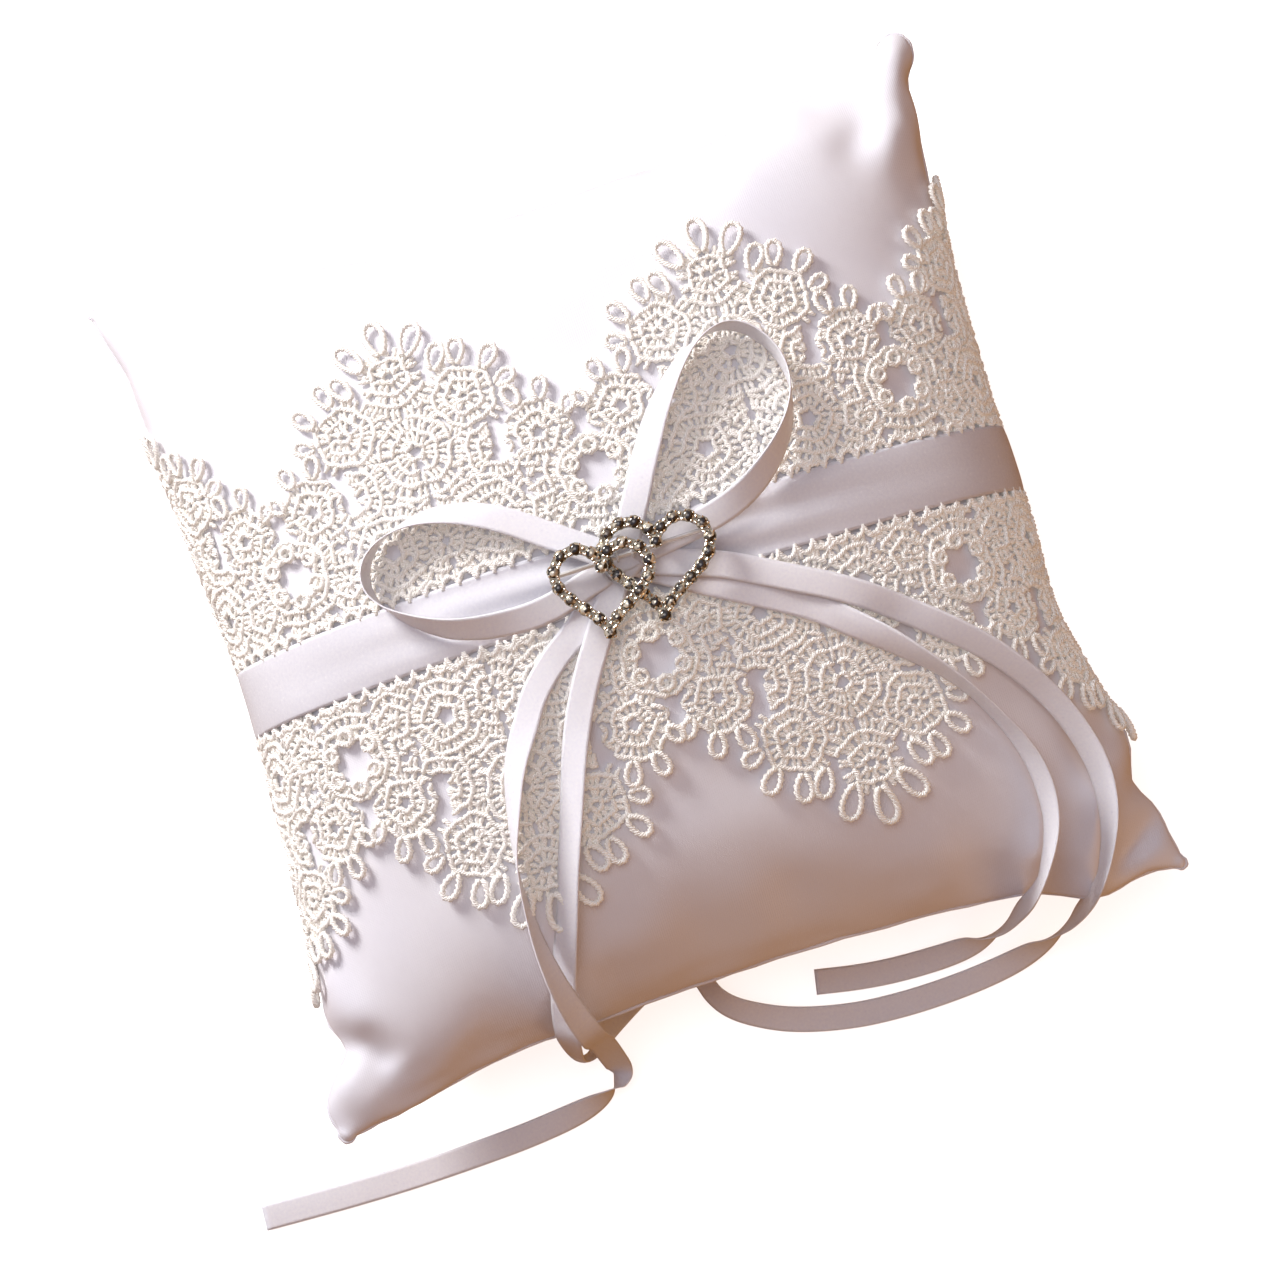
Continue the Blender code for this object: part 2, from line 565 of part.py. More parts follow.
def build():
    clear_scene()
    satin = material("white_satin", (0.86, 0.84, 0.88), 0.38)
    fibre = material("polyester_fibre", (0.92, 0.92, 0.92), 0.95)
    lace = material("ivory_lace", (0.87, 0.82, 0.75), 0.7)
    ribbon_satin = material("ribbon_satin", (0.9, 0.88, 0.93), 0.3)
    metal = material("silver_metal", (0.78, 0.74, 0.68), 0.22, 1.0)
    crystal = material("smoky_crystal", (0.3, 0.27, 0.22), 0.08)
    thread = material("white_thread", (0.9, 0.89, 0.88), 0.6)

    cover_half("cover_front", 0, satin)
    cover_half("cover_back", math.pi, satin)
    fibre_fill(fibre)
    lace_band(lace)
    satin_band(ribbon_satin)
    bow_knot(ribbon_satin)
    ribbon("bow_loop_left", LOOP_LEFT, (), ribbon_satin)
    ribbon("bow_loop_right", LOOP_RIGHT, (), ribbon_satin)
    ribbon("tail_left_outer", TAIL_LEFT_OUTER, TAIL_LEFT_OUTER_TABLE, ribbon_satin)
    ribbon("tail_left_inner", TAIL_LEFT_INNER, TAIL_LEFT_INNER_TABLE, ribbon_satin)
    ribbon("tail_right_outer", TAIL_RIGHT_OUTER, TAIL_RIGHT_OUTER_TABLE, ribbon_satin)
    ribbon("tail_right_inner", TAIL_RIGHT_INNER, TAIL_RIGHT_INNER_TABLE, ribbon_satin)
    for number, x in enumerate(STITCH_X, 1):
        tack_stitch(f"tack_stitch_{number}", x, thread)

    buckle = [
        buckle_bar(metal),
        heart_frame("heart_frame_large", LARGE_HEART, LARGE_Z, metal),
        heart_frame("heart_frame_small", SMALL_HEART, SMALL_Z, metal),
    ]
    gem = stone_mesh("rhinestone")
    buckle += heart_stones("stone_large", LARGE_HEART, LARGE_Z, gem, crystal)
    buckle += heart_stones("stone_small", SMALL_HEART, SMALL_Z, gem, crystal)
    hinge_on_bar(buckle)


build()
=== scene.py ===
"""Looks of the ring bearer pillow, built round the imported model.

Everything is in metres in the model's own frame: +X along the satin band, +Y to the top edge of the
face, +Z up. The pillow lies on its back on z = 0.
"""
import math

import bmesh
import bpy
import numpy as np
from mathutils import Matrix, Vector
from mathutils.bvhtree import BVHTree


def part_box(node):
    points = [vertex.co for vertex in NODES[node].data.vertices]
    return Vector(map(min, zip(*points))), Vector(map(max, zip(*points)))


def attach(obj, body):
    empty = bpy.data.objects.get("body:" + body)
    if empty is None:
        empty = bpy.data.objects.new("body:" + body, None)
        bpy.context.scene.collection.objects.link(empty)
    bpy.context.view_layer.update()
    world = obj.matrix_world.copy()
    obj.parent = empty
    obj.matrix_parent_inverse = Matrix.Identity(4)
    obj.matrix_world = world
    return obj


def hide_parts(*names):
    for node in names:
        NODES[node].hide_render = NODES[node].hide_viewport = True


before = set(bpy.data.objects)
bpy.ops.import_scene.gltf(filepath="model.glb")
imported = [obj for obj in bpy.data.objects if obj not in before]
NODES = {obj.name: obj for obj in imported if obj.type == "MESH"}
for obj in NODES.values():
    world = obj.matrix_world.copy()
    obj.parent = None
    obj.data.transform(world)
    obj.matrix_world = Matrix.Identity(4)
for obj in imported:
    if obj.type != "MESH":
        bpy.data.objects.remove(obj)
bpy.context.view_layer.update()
MM = 0.001

# Cushion, from the boxes of its two panels
FACE_LOW, FACE_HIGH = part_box("cover_front")
BACK_LOW, BACK_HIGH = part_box("cover_back")
SEAM_Z = (FACE_LOW.z + BACK_HIGH.z) / 2
SEAM_PART = (FACE_LOW.z - BACK_HIGH.z) / 2
HALF_X = FACE_HIGH.x
HALF_Y = FACE_HIGH.y
FACE_RISE = FACE_HIGH.z - FACE_LOW.z
BACK_DROP = BACK_HIGH.z - BACK_LOW.z
EDGE_PULL = 8.5 * MM
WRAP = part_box("satin_band")[1].z - FACE_HIGH.z  # top of the lace and the band over the satin

# Folds and tucks of the satin, each: place, move and spread in mm
RIM_TUCKS = (
    ((93, -79, 28), (-4.5, 0, 0), 4.5),
    ((94, -35, 28), (-2.6, 0, 0), 15),
    ((97, -66, 28), (1.4, 0, 0), 6),
    ((-96, -80.5, 28), (4.0, 0, 1.5), 4.0),
    ((-99, -92, 28), (-3.0, 0, 0), 5.5),
    ((-95, 5, 28), (1.0, 0, 0), 16),
    ((78, -97, 28), (0, -3.6, 0), 9),
    ((-60, -96, 28), (0, 1.2, 0), 16),
    ((100, 101, 28), (0.6, 3.6, 0), 10),
    ((-96, 84, 28), (1.2, 0, 0), 7),
)
FACE_CREASES = (  # line, height and spread in mm
    (((-99, -80.5), (-93, -79.5), (-87.5, -80), (-85.5, -83.5)), -2.6, 3.4),
    (((-92, -62), (-91, -70), (-88, -75)), 1.6, 4.5),
    (((-95, -88), (-92, -93)), 1.2, 3.5),
    (((100, -86), (95.5, -88.5), (91, -91.5), (86, -92.2)), -2.6, 3.0),
    (((92, -72), (88, -75), (84, -80)), 1.6, 5.0),
    (((97, -94), (92, -96)), 1.4, 3.0),
    (((96, 95), (92, 86), (88, 76)), 2.2, 6.0),
    (((84, 88), (80, 76)), -1.2, 6.0),
    (((-92, 90), (-84, 80), (-78, 68)), -1.6, 5.0),
    (((-70, 93), (-66, 84)), -1.2, 4.0),
    (((40, 92), (42, 82)), -0.9, 5.0),
    (((-20, 91), (-16, 82)), -0.8, 5.0),
    (((30, -91), (26, -82)), -0.8, 5.0),
    (((-62, -93), (-58, -84)), -0.9, 5.0),
    (((14, -93), (12, -86)), -0.8, 3.4),
    (((7, -93), (5, -77)), 0.5, 4.0),
    (((-8, -93), (-9, -75)), -0.6, 4.4),
    (((-24, -92), (-24, -78)), 0.5, 4.6),
    (((46, -92), (43, -79)), 0.5, 4.6),
    (((57, -92), (53, -80)), -0.6, 4.4),
)
CORNERS = (  # the corner's way from the middle, half width of its rounded tip and length of the tip, in mm
    ((1, 1), 4.6, 12),
    ((-1, -1), 2.0, 2.8),
    ((1, -1), 1.7, 2.4),
    ((-1, 1), 1.3, 1.9),
)
TIP_LIFT = 0.35  # how far a tip is plumped, over its half width
SKIN_CELLS = 60
CLOTH = {
    "quality": 5, "mass": 0.25, "tension_stiffness": 12, "compression_stiffness": 12, "shear_stiffness": 4,
    "bending_stiffness": 0.4, "use_pressure": True, "uniform_pressure_force": 4, "shrink_min": -0.035,
}
CLOTH_STEPS = 20
PUFF_LIMIT = 4.0 * MM  # furthest that the simulated satin moves
PUFF_UNDER_WRAP = 0.05  # share of that under the lace
PUFF_UNDERSIDE = 0.2  # share of it where the cushion stands
PUFF_UNDER_TAILS = 1.2 * MM  # how far it rises under the loose ribbons
WRAP_EDGE = 0.050  # the lace covers up to here, out from the middle
WRAP_BLEND = 0.03  # and the limit grows to its full value over this
CORNER_REACH = 0.09  # from 0.6 of this out from the middle the limit falls, to nothing at the corners
LIFT_OFF_FLOOR = 0.6 * MM
SEAM_RADIUS = 0.55 * MM
SEAM_SIDES = 8

# Where the satin's height is measured for what lies on it
WRAP_REACH = 0.074  # out from the middle
WRAP_COLUMNS = 201
WRAP_ROWS = 61

# Wide band
BAND_HALF = 7.75 * MM
BAND_WAIST_HALF = 5.5 * MM
BAND_THICKNESS = 0.35 * MM
BAND_CELLS = 18
BAND_COLUMNS = 560
PINCH_REACH = 0.014  # the bow narrows the band this near to it
PLEAT_REACH = 0.040  # and pleats it this near
PLEAT_DEPTH = 1.15 * MM

# Bow ribbon
RIBBON_WIDTH = 6 * MM
RIBBON_THICKNESS = 0.3 * MM
RIBBON_STEP = 1.0 * MM
RIBBON_CELLS = 8
KNOT_WIDTH = 5.2 * MM
KNOT_PILE = (  # its folds: direction in degrees, share of the knot's height, length in mm
    (38, 0.15, 9.6), (-33, 0.35, 9.2), (64, 0.55, 8.8), (-62, 0.75, 8.6), (8, 0.95, 9.0),
)

# Buckle
STONE_RADIUS = 1.42 * MM
STONE_HEIGHT = 0.7 * MM
CUP_RADIUS = 1.5 * MM
CUP_HEIGHT = 0.46 * MM
CLAW_RADIUS = 0.34 * MM
CLAW_REACH = 1.32 * MM  # from the stone's middle
BEAD_RADIUS = 0.46 * MM  # of the small balls between two stones
BEAD_REACH = 0.62 * MM

# Routes of the ribbons, each row: x and y in mm, the gap in mm between the ribbon and what it lies on,
# and the lean in degrees of its width, 0 flat and 90 on edge
FACE_ROUTES = {
    "bow_loop_left": (
        (-4.6, 3.2, 1.9, 0), (-9.8, 7.2, 1.9, 0), (-15.4, 11.5, 1.9, 0), (-21.3, 16, 1.9, 8),
        (-26.8, 19.3, 1.8, 20), (-32.3, 21.6, 1.5, 34), (-38, 22.8, 1, 50), (-43.3, 22.6, 0.6, 66),
        (-48.2, 21.2, 0.5, 78), (-51.8, 18.6, 0.4, 85), (-53.6, 15, 0.4, 88), (-53.5, 11, 0.4, 86),
        (-51.6, 7.2, 0.4, 80), (-48.5, 3.8, 0.4, 70), (-44.3, 0.6, 0.5, 58), (-39.5, -1.9, 0.7, 46),
        (-34, -3.6, 0.9, 36), (-28, -4.5, 1.1, 26), (-22, -4.7, 1.4, 16), (-16.3, -3.9, 1.4, 8),
        (-10.8, -2.4, 1.4, 2), (-5.3, -0.8, 1.4, 0),
    ),
    "bow_loop_right": (
        (1.3, 4.4, 1.9, 0), (3.8, 8.7, 1.9, 0), (6.5, 13.2, 1.8, -4), (9.2, 18, 1.6, -12),
        (12, 22.5, 1.4, -20), (15, 27.2, 1.2, -30), (18.6, 32, 1, -42), (22.5, 36.3, 0.8, -54),
        (26.8, 39.8, 0.6, -66), (31.2, 42, 0.5, -76), (35.6, 42.6, 0.4, -84), (39.6, 40.8, 0.4, -88),
        (42.6, 37.2, 0.4, -88), (44.5, 32.6, 0.4, -86), (45, 27.5, 0.4, -80), (43.8, 22.3, 0.4, -70),
        (41, 17.3, 0.5, -58), (37, 12.6, 0.8, -44), (32, 8.6, 1.2, -30), (26.3, 5.6, 1.4, -18),
        (20, 3.6, 1.4, -8), (12, 2.3, 1.4, -2), (3.5, 1.2, 1.4, 0),
    ),
    "tail_left_outer": (
        (-4.5, -2.3, 0.4, 0), (-9.8, -6.5, 0.4, 0), (-15.4, -11, 0.4, 0), (-20.5, -14.4, 0.4, 0),
        (-24.6, -17.8, 0.4, 4), (-28.3, -21.6, 0.4, 8), (-31.2, -26, 0.4, 15), (-34.5, -31, 0.4, 25),
        (-37, -36, 0.4, 38), (-39.5, -43, 0.4, 55), (-41.5, -50, 0.4, 72), (-42.7, -57, 0.4, 86),
        (-43.1, -64, 0.8, 98), (-42.9, -71, 2.2, 112), (-42.2, -78, 3.8, 128), (-41, -84, 4.2, 146),
        (-39.6, -89.5, 4, 163),
    ),
    "tail_left_inner": (
        (-3.6, -3.2, 0.9, 0), (-6.6, -7.5, 0.9, 0), (-9.6, -11.8, 0.9, 0), (-12.6, -16, 0.9, 0),
        (-15.3, -20, 0.9, 2), (-18, -24.5, 0.7, 6), (-20.7, -29.5, 0.5, 12), (-23.4, -35.3, 0.4, 20),
        (-26.2, -42.5, 0.4, 28), (-29, -49.5, 0.4, 34), (-31.8, -56.5, 0.4, 38), (-34.5, -63.5, 0.4, 40),
        (-37.2, -70, 0.4, 38), (-39.8, -76, 0.4, 32), (-42.2, -81.5, 0.4, 28), (-44, -86.5, 0.4, 32),
        (-45, -90.5, 0.5, 40),
    ),
    "tail_right_outer": (
        (3.2, -1, 0.9, 0), (8.7, -3, 0.9, 0), (14.3, -5, 0.9, 0), (19.9, -7.2, 0.9, 0), (26, -10.4, 1, 0),
        (32.5, -14, 1.4, 0), (39.4, -17.8, 1.6, 2), (46.5, -22.3, 1.5, 6), (53.2, -27.3, 0.5, 14),
        (59, -32, 0.4, 24), (64.5, -37, 0.4, 36), (69.5, -42.3, 0.4, 46), (73.8, -48, 0.4, 54),
        (77.5, -54, 0.4, 58), (80.6, -60.5, 0.4, 60), (82.8, -67.5, 0.4, 62), (83.8, -74.5, 0.4, 66),
        (83.3, -81.5, 0.6, 74), (81.3, -88, 0.8, 86), (78.2, -93.5, 1.5, 100),
    ),
    "tail_right_inner": (
        (2.9, -1.8, 0.4, 0), (7.6, -4.9, 0.4, 0), (12.6, -8, 0.4, 0), (17.8, -11, 0.4, 0),
        (23, -14, 0.4, 0), (28.5, -17.2, 0.4, 0), (34.5, -20.9, 0.4, 0), (40.5, -25.8, 0.4, 14),
        (46.5, -31.3, 0.4, 38), (52, -36.8, 0.4, 60), (57, -42.3, 0.4, 76), (61.5, -48.3, 0.4, 84),
        (65.3, -54.5, 0.4, 82), (68.3, -60.7, 0.4, 76), (70.4, -67, 0.4, 70), (71.2, -73.3, 0.4, 70),
        (70.5, -79.5, 0.5, 78), (68.2, -85.3, 0.6, 90), (64.8, -90.3, 1, 104),
    ),
}
TABLE_ROUTES = {  # the rest of each tail, past the edge of the cushion
    "tail_left_outer": (
        (-38.2, -97.5, 27, 172), (-37.3, -101.5, 14, 182), (-36.9, -104.5, 5, 198),
        (-37.8, -106.8, 1.5, 235), (-40.7, -108.8, 0.6, 285), (-45.5, -110.4, 0.4, 320),
        (-53, -111.7, 0.4, 345), (-63, -112.6, 0.3, 356), (-73, -113, 0.3, 360), (-83, -113.2, 0.3, 360),
        (-94, -113.2, 0.3, 360), (-105, -112.9, 0.3, 360), (-116, -112.4, 0.3, 360),
        (-127, -111.8, 0.3, 360),
    ),
    "tail_left_inner": (
        (-45.4, -97, 22, 48), (-44.8, -98.6, 12, 46), (-42.5, -98.4, 5, 38), (-39, -96, 1.5, 25),
        (-34, -92.8, 0.5, 10), (-27, -89, 0.3, 0), (-19, -85.5, 0.3, 0), (-11, -82.5, 0.3, 0),
        (-4, -80, 0.3, 0),
    ),
    "tail_right_outer": (
        (74.2, -102.5, 22, 116), (70.6, -105.2, 12, 130), (66.2, -107.4, 5, 143), (61, -109, 1.5, 155),
        (55, -110, 0.5, 165), (47.5, -110.7, 0.4, 172), (39, -111, 0.3, 176), (30, -110.8, 0.3, 178),
        (21, -110, 0.3, 178), (12, -108.2, 0.3, 175), (4, -105.7, 0.3, 168), (-2.5, -102.5, 0.3, 160),
        (-7.5, -99, 0.3, 150), (-10.5, -95.2, 0.3, 140), (-12, -91, 0.3, 135),
    ),
    "tail_right_inner": (
        (60.5, -98.5, 24, 118), (56.5, -101, 13, 134), (51.5, -102.4, 5, 150), (45.5, -103, 1.5, 164),
        (38, -103, 0.5, 174), (30, -102.5, 0.3, 178), (22, -101.4, 0.3, 178), (13, -99.6, 0.3, 176),
    ),
}

# Lace pattern, in mm over one half scallop: across from its tip, and out from the band's middle
LACE_REPEATS = 6
LACE_START = 8.4
MOTIFS = (  # across, out, radius of the hole, ring spacing; the widest stands round the star opening
    (0.0, 38.5, 1.9, 3.0),
    (26.5, 33.5, 1.9, 2.7),
    (12.0, 18.8, 2.4, 2.7),
    (23.8, 16.4, 1.0, 2.6),
    (0.0, 56.5, 1.5, 2.7),
    (13.8, 47.0, 1.3, 2.6),
    (0.0, 17.5, 1.4, 2.7),
    (35.8, 21.5, 5.4, 2.6),
    (16.5, 33.0, 0.8, 2.7),
)
LOBES = (  # discs that the lace covers past its body: across, out, radius
    (0.0, 38.5, 16.5), (0.0, 55.5, 6.6), (13.0, 46.5, 8.2), (26.5, 33.5, 7.6),
)
BODY_OUT = 30.5
PICOTS = (  # across, out, direction in degrees, length, half width
    (0.0, 61.6, 90, 7.6, 2.5), (4.9, 59.6, 58, 7.4, 2.4), (9.4, 54.6, 62, 6.0, 2.1),
    (14.4, 54.4, 74, 5.6, 2.0), (19.2, 51.6, 48, 5.6, 2.0), (21.2, 47.0, 22, 4.6, 1.8),
    (24.0, 40.6, 105, 5.2, 1.9), (28.9, 40.4, 75, 5.2, 1.9), (33.0, 36.0, 52, 4.2, 1.7),
)
MOTIF_REACH = 24
STAR_RING = 1.55  # radius of the small rings in the star openings
STAR_RADIUS = 5.6  # and how far from its middle they stand
STAR_OUT = 21.5
STITCH_PITCH = 1.36
CORD_RADIUS = 0.56
CORD_RISE = 0.45  # how far the lowest cords' middle lies over the satin
TIP_START = 52  # out from here the picots rise off the satin
LACE_STEP = 0.6
LACE_SIDES = 5


# Camera and light

def set_camera():
    """A long lens above the pillow, looking down past its bottom edge."""
    azimuth = math.radians(-10.11)
    elevation = math.radians(83.7)
    roll = math.radians(-7.97)
    target = Vector((-0.0032, -0.0107, 0.035))
    distance = 0.677
    out = Matrix.Rotation(azimuth, 3, "Z") @ Vector((0, -math.cos(elevation), math.sin(elevation)))
    right = (-out).cross(Vector((0, 0, 1))).normalized()
    axes = Matrix((right, right.cross(-out), out)).transposed().to_4x4() @ Matrix.Rotation(roll, 4, "Z")
    camera = bpy.data.cameras.new("camera")
    camera.lens = 85
    camera.sensor_width = 36
    made = bpy.data.objects.new("camera", camera)
    made.matrix_world = Matrix.Translation(target + out * distance) @ axes
    bpy.context.scene.collection.objects.link(made)
    bpy.context.scene.camera = made


def add_light(name, place, size, power, colour):
    """A round area light that faces the middle of the pillow."""
    aim = Vector((0, 0, 0.03))
    lamp = bpy.data.lights.new(name, "AREA")
    lamp.shape = "DISK"
    lamp.size = size
    lamp.energy = power
    lamp.color = colour
    made = bpy.data.objects.new(name, lamp)
    made.location = place
    made.rotation_euler = (aim - Vector(place)).to_track_quat("-Z", "Y").to_euler()
    bpy.context.scene.collection.objects.link(made)


def set_stops(ramp, stops):
    """Give a colour ramp its stops, each a place and a colour."""
    made = ramp.color_ramp.elements
    for stop, (place, colour) in zip(made, (stops[0], stops[-1])):
        stop.position = place
        stop.color = (*colour, 1)
    for place, colour in stops[1:-1]:
        made.new(place).color = (*colour, 1)


def set_world():
    """A cool bright sky at the upper left that falls to a warm brown room at the lower right."""
    world = bpy.data.worlds.new("studio")
    bpy.context.scene.world = world
    world.use_nodes = True
    tree = world.node_tree
    ways = tree.nodes.new("ShaderNodeTexCoord")
    facing = tree.nodes.new("ShaderNodeVectorMath")
    facing.operation = "DOT_PRODUCT"
    facing.inputs[1].default_value = (-0.42, 0.52, 0.74)
    ramp = tree.nodes.new("ShaderNodeValToRGB")
    set_stops(ramp, (
        (0.0, (0.42, 0.165, 0.032)), (0.30, (0.68, 0.33, 0.09)), (0.62, (0.44, 0.47, 0.70)),
        (1.0, (0.95, 0.95, 1.0)),
    ))
    tree.links.new(ways.outputs["Generated"], facing.inputs[0])
    tree.links.new(facing.outputs["Value"], ramp.inputs["Fac"])
    tree.links.new(ramp.outputs["Color"], tree.nodes["Background"].inputs["Color"])
    tree.nodes["Background"].inputs["Strength"].default_value = 0.62


def set_lights():
    """Soft low key from the upper left, and a warm glow low from the front."""
    set_world()
    add_light("key", (-0.50, 0.79, 0.44), 0.40, 14.0, (1.0, 0.98, 0.96))
    add_light("top", (-0.10, 0.20, 1.1), 0.6, 1.9, (0.96, 0.95, 1.0))
    add_light("warm", (0.50, -0.70, 0.12), 0.4, 1.1, (1.0, 0.64, 0.36))
    bpy.context.scene.view_settings.view_transform = "Standard"


def add_floor(finish):
    bm = bmesh.new()
    bmesh.ops.create_grid(bm, x_segments=24, y_segments=24, size=14.0)
    mesh = bpy.data.meshes.new("floor")
    bm.to_mesh(mesh)
    bm.free()
    mesh.materials.append(finish)
    made = bpy.data.objects.new("floor", mesh)
    made.location.z = -0.0003
    made.visible_diffuse = False
    made.visible_glossy = False
    bpy.context.scene.collection.objects.link(made)


# Materials

class Finish:
    """A Principled material, with short calls for its nodes."""

    def __init__(self, name, colour, roughness, metallic=0.0, **more):
        self.made = bpy.data.materials.new(name)
        self.made.use_nodes = True
        self.tree = self.made.node_tree
        self.shader = self.tree.nodes["Principled BSDF"]
        self.shader.inputs["Base Color"].default_value = (*colour, 1)
        self.shader.inputs["Roughness"].default_value = roughness
        self.shader.inputs["Metallic"].default_value = metallic
        for key, value in more.items():
            self.shader.inputs[key.replace("_", " ")].default_value = value
        self.places = self.node("ShaderNodeTexCoord")

    def node(self, kind, **values):
        made = self.tree.nodes.new(kind)
        for key, value in values.items():
            if key in made.inputs:
                made.inputs[key].default_value = value
            else:
                setattr(made, key, value)
        return made

    def link(self, source, output, target, socket):
        self.tree.links.new(source.outputs[output], target.inputs[socket])

    def vary(self, output, scale, low, high, detail=3.0):
        """Colour that drifts between low and high over the surface."""
        noise = self.node("ShaderNodeTexNoise", Scale=scale, Detail=detail)
        ramp = self.node("ShaderNodeValToRGB")
        set_stops(ramp, ((0.3, low), (0.7, high)))
        self.link(self.places, output, noise, "Vector")
        self.link(noise, "Fac", ramp, "Fac")
        self.link(ramp, "Color", self.shader, "Base Color")
        return noise

    def rough(self, source, output, low, high):
        spread = self.node("ShaderNodeMapRange")
        spread.inputs["To Min"].default_value = low
        spread.inputs["To Max"].default_value = high
        self.link(source, output, spread, "Value")
        self.link(spread, "Result", self.shader, "Roughness")

    def bump(self, source, output, strength, distance):
        bump = self.node("ShaderNodeBump", Strength=strength, Distance=distance)
        self.link(source, output, bump, "Height")
        self.link(bump, "Normal", self.shader, "Normal")

    def waves(self, output, direction, scale, distortion=0.0):
        wave = self.node("ShaderNodeTexWave", Scale=scale, Distortion=distortion)
        wave.wave_type = "BANDS"
        wave.bands_direction = direction
        self.link(self.places, output, wave, "Vector")
        return wave

    def product(self, first, second):
        times = self.node("ShaderNodeMath")
        times.operation = "MULTIPLY"
        self.link(first, 0, times, 0)
        self.link(second, 0, times, 1)
        return times


def satin_finish():
    """Duchess satin: smooth face, faint weave, soft sheen."""
    finish = Finish(
        "duchess_satin", (0.80, 0.79, 0.84), 0.4, Sheen_Weight=0.2, Sheen_Roughness=0.35,
        Anisotropic=0.35,
    )
    noise = finish.vary("Object", 26, (0.77, 0.76, 0.82), (0.83, 0.82, 0.86))
    finish.rough(noise, "Fac", 0.34, 0.48)
    warp = finish.waves("Object", "X", 640, 0.6)
    weft = finish.waves("Object", "Y", 900, 0.6)
    finish.bump(finish.product(warp, weft), 0, 0.35, 0.00012)
    return finish.made


def ribbon_finish(name, ribs, roughness, dull=(0.85, 0.84, 0.90), bright=(0.91, 0.90, 0.93)):
    """Satin ribbon: fine ribs along its length and a woven edge; its UV is across and along."""
    finish = Finish(
        name, bright, roughness, Sheen_Weight=0.2, Sheen_Roughness=0.3, Anisotropic=0.55,
    )
    noise = finish.vary("UV", 1.4, dull, bright)
    finish.rough(noise, "Fac", roughness - 0.07, roughness + 0.08)
    wave = finish.waves("UV", "X", ribs, 0.4)
    weft = finish.waves("UV", "Y", 5.2, 0.4)
    finish.bump(finish.product(wave, weft), 0, 0.5, 0.00012)
    return finish.made


def lace_finish():
    """Ivory cotton cord, twisted: slanting ridges along its UV, and a faint warm glow painted in as light.
    """
    # The emission is painted light: a faint warm glow that brightens the cords as though lit.
    finish = Finish(
        "ivory_lace_cord", (0.95, 0.92, 0.87), 0.38, Sheen_Weight=0.3, Sheen_Roughness=0.4,
        Emission_Color=(1.0, 0.93, 0.84, 1), Emission_Strength=0.13,
    )
    finish.vary("Object", 300, (0.90, 0.86, 0.79), (0.99, 0.96, 0.92), 2.0)
    twist = finish.waves("UV", "DIAGONAL", 1.0, 0.5)
    finish.bump(twist, "Fac", 0.6, 0.0003)
    return finish.made


def metal_finish(name, dull, bright, low, high, metallic=1.0):
    finish = Finish(name, bright, high, metallic)
    noise = finish.vary("Object", 900, dull, bright)
    finish.rough(noise, "Fac", low, high)
    finish.bump(noise, "Fac", 0.25, 0.00005)
    return finish.made


def crystal_finish():
    """Smoky foil-backed stone: dark facets, with bright golden glints painted into random cells of its
    colour.
    """
    finish = Finish(
        "smoky_crystal", (0.22, 0.19, 0.15), 0.06, 0.5, Coat_Weight=1.0, Coat_Roughness=0.03, IOR=1.7,
    )
    # Random cells of the smoky tone; the ramp's brightest stop paints golden glints on some of them.
    noise = finish.node("ShaderNodeTexVoronoi", Scale=1250)
    ramp = finish.node("ShaderNodeValToRGB")
    set_stops(ramp, ((0.4, (0.03, 0.022, 0.015)), (0.62, (0.24, 0.19, 0.13)), (0.82, (0.95, 0.86, 0.66))))
    finish.link(finish.places, "Object", noise, "Vector")
    finish.link(noise, "Color", ramp, "Fac")
    finish.link(ramp, "Color", finish.shader, "Base Color")
    return finish.made


def thread_finish():
    finish = Finish("sewing_thread", (0.88, 0.87, 0.86), 0.6, Sheen_Weight=0.3)
    finish.vary("Object", 1200, (0.80, 0.79, 0.78), (0.93, 0.92, 0.91))
    wave = finish.waves("Object", "DIAGONAL", 900)
    finish.bump(wave, "Fac", 0.5, 0.0001)
    return finish.made


def floor_finish():
    finish = Finish(
        "pale_floor", (0.93, 0.93, 0.93), 0.7, Emission_Color=(1, 1, 1, 1), Emission_Strength=0.75,
    )
    finish.vary("Object", 3, (0.925, 0.925, 0.925), (0.945, 0.945, 0.945))
    return finish.made


# Meshes

def add_mesh(name, verts, face_groups, finish, uvs=None, smooth=True):
    """A new object from arrays: each face group has faces of one size, and uvs a pair for each vertex."""
    mesh = bpy.data.meshes.new(name)
    verts = np.asarray(verts, float)
    loops = np.concatenate([faces.ravel() for faces in face_groups]).astype(np.int32)
    sizes = np.concatenate([np.full(len(faces), faces.shape[1]) for faces in face_groups])
    starts = np.concatenate([[0], np.cumsum(sizes)[:-1]]).astype(np.int32)
    mesh.vertices.add(len(verts))
    mesh.vertices.foreach_set("co", verts.ravel())
    mesh.loops.add(len(loops))
    mesh.loops.foreach_set("vertex_index", loops)
    mesh.polygons.add(len(sizes))
    mesh.polygons.foreach_set("loop_start", starts)
    mesh.update(calc_edges=True)
    if uvs is not None:
        layer = mesh.uv_layers.new(name="UVMap")
        layer.data.foreach_set("uv", np.asarray(uvs, float)[loops].ravel())
    mesh.materials.append(finish)
    mesh.validate()
    if smooth:
        mesh.shade_smooth()
    made = bpy.data.objects.new(name, mesh)
    bpy.context.scene.collection.objects.link(made)
    return made


def unit(vectors):
    return vectors / np.maximum(np.linalg.norm(vectors, axis=-1, keepdims=True), 1e-12)


def rings(side, top, sides):
    """For each point of a line, the ways from it to a ring of points."""
    turn = 2 * math.pi * np.arange(sides) / sides
    return side[:, None] * np.cos(turn)[None, :, None] + top[:, None] * np.sin(turn)[None, :, None]


def line_length(line):
    return float(np.linalg.norm(np.diff(np.array(line), axis=0), axis=1).sum())


def quads(grid):
    """The four-sided faces of a grid of vertex numbers."""
    return np.stack([grid[:-1, :-1], grid[1:, :-1], grid[1:, 1:], grid[:-1, 1:]], -1).reshape(-1, 4)


# Cushion

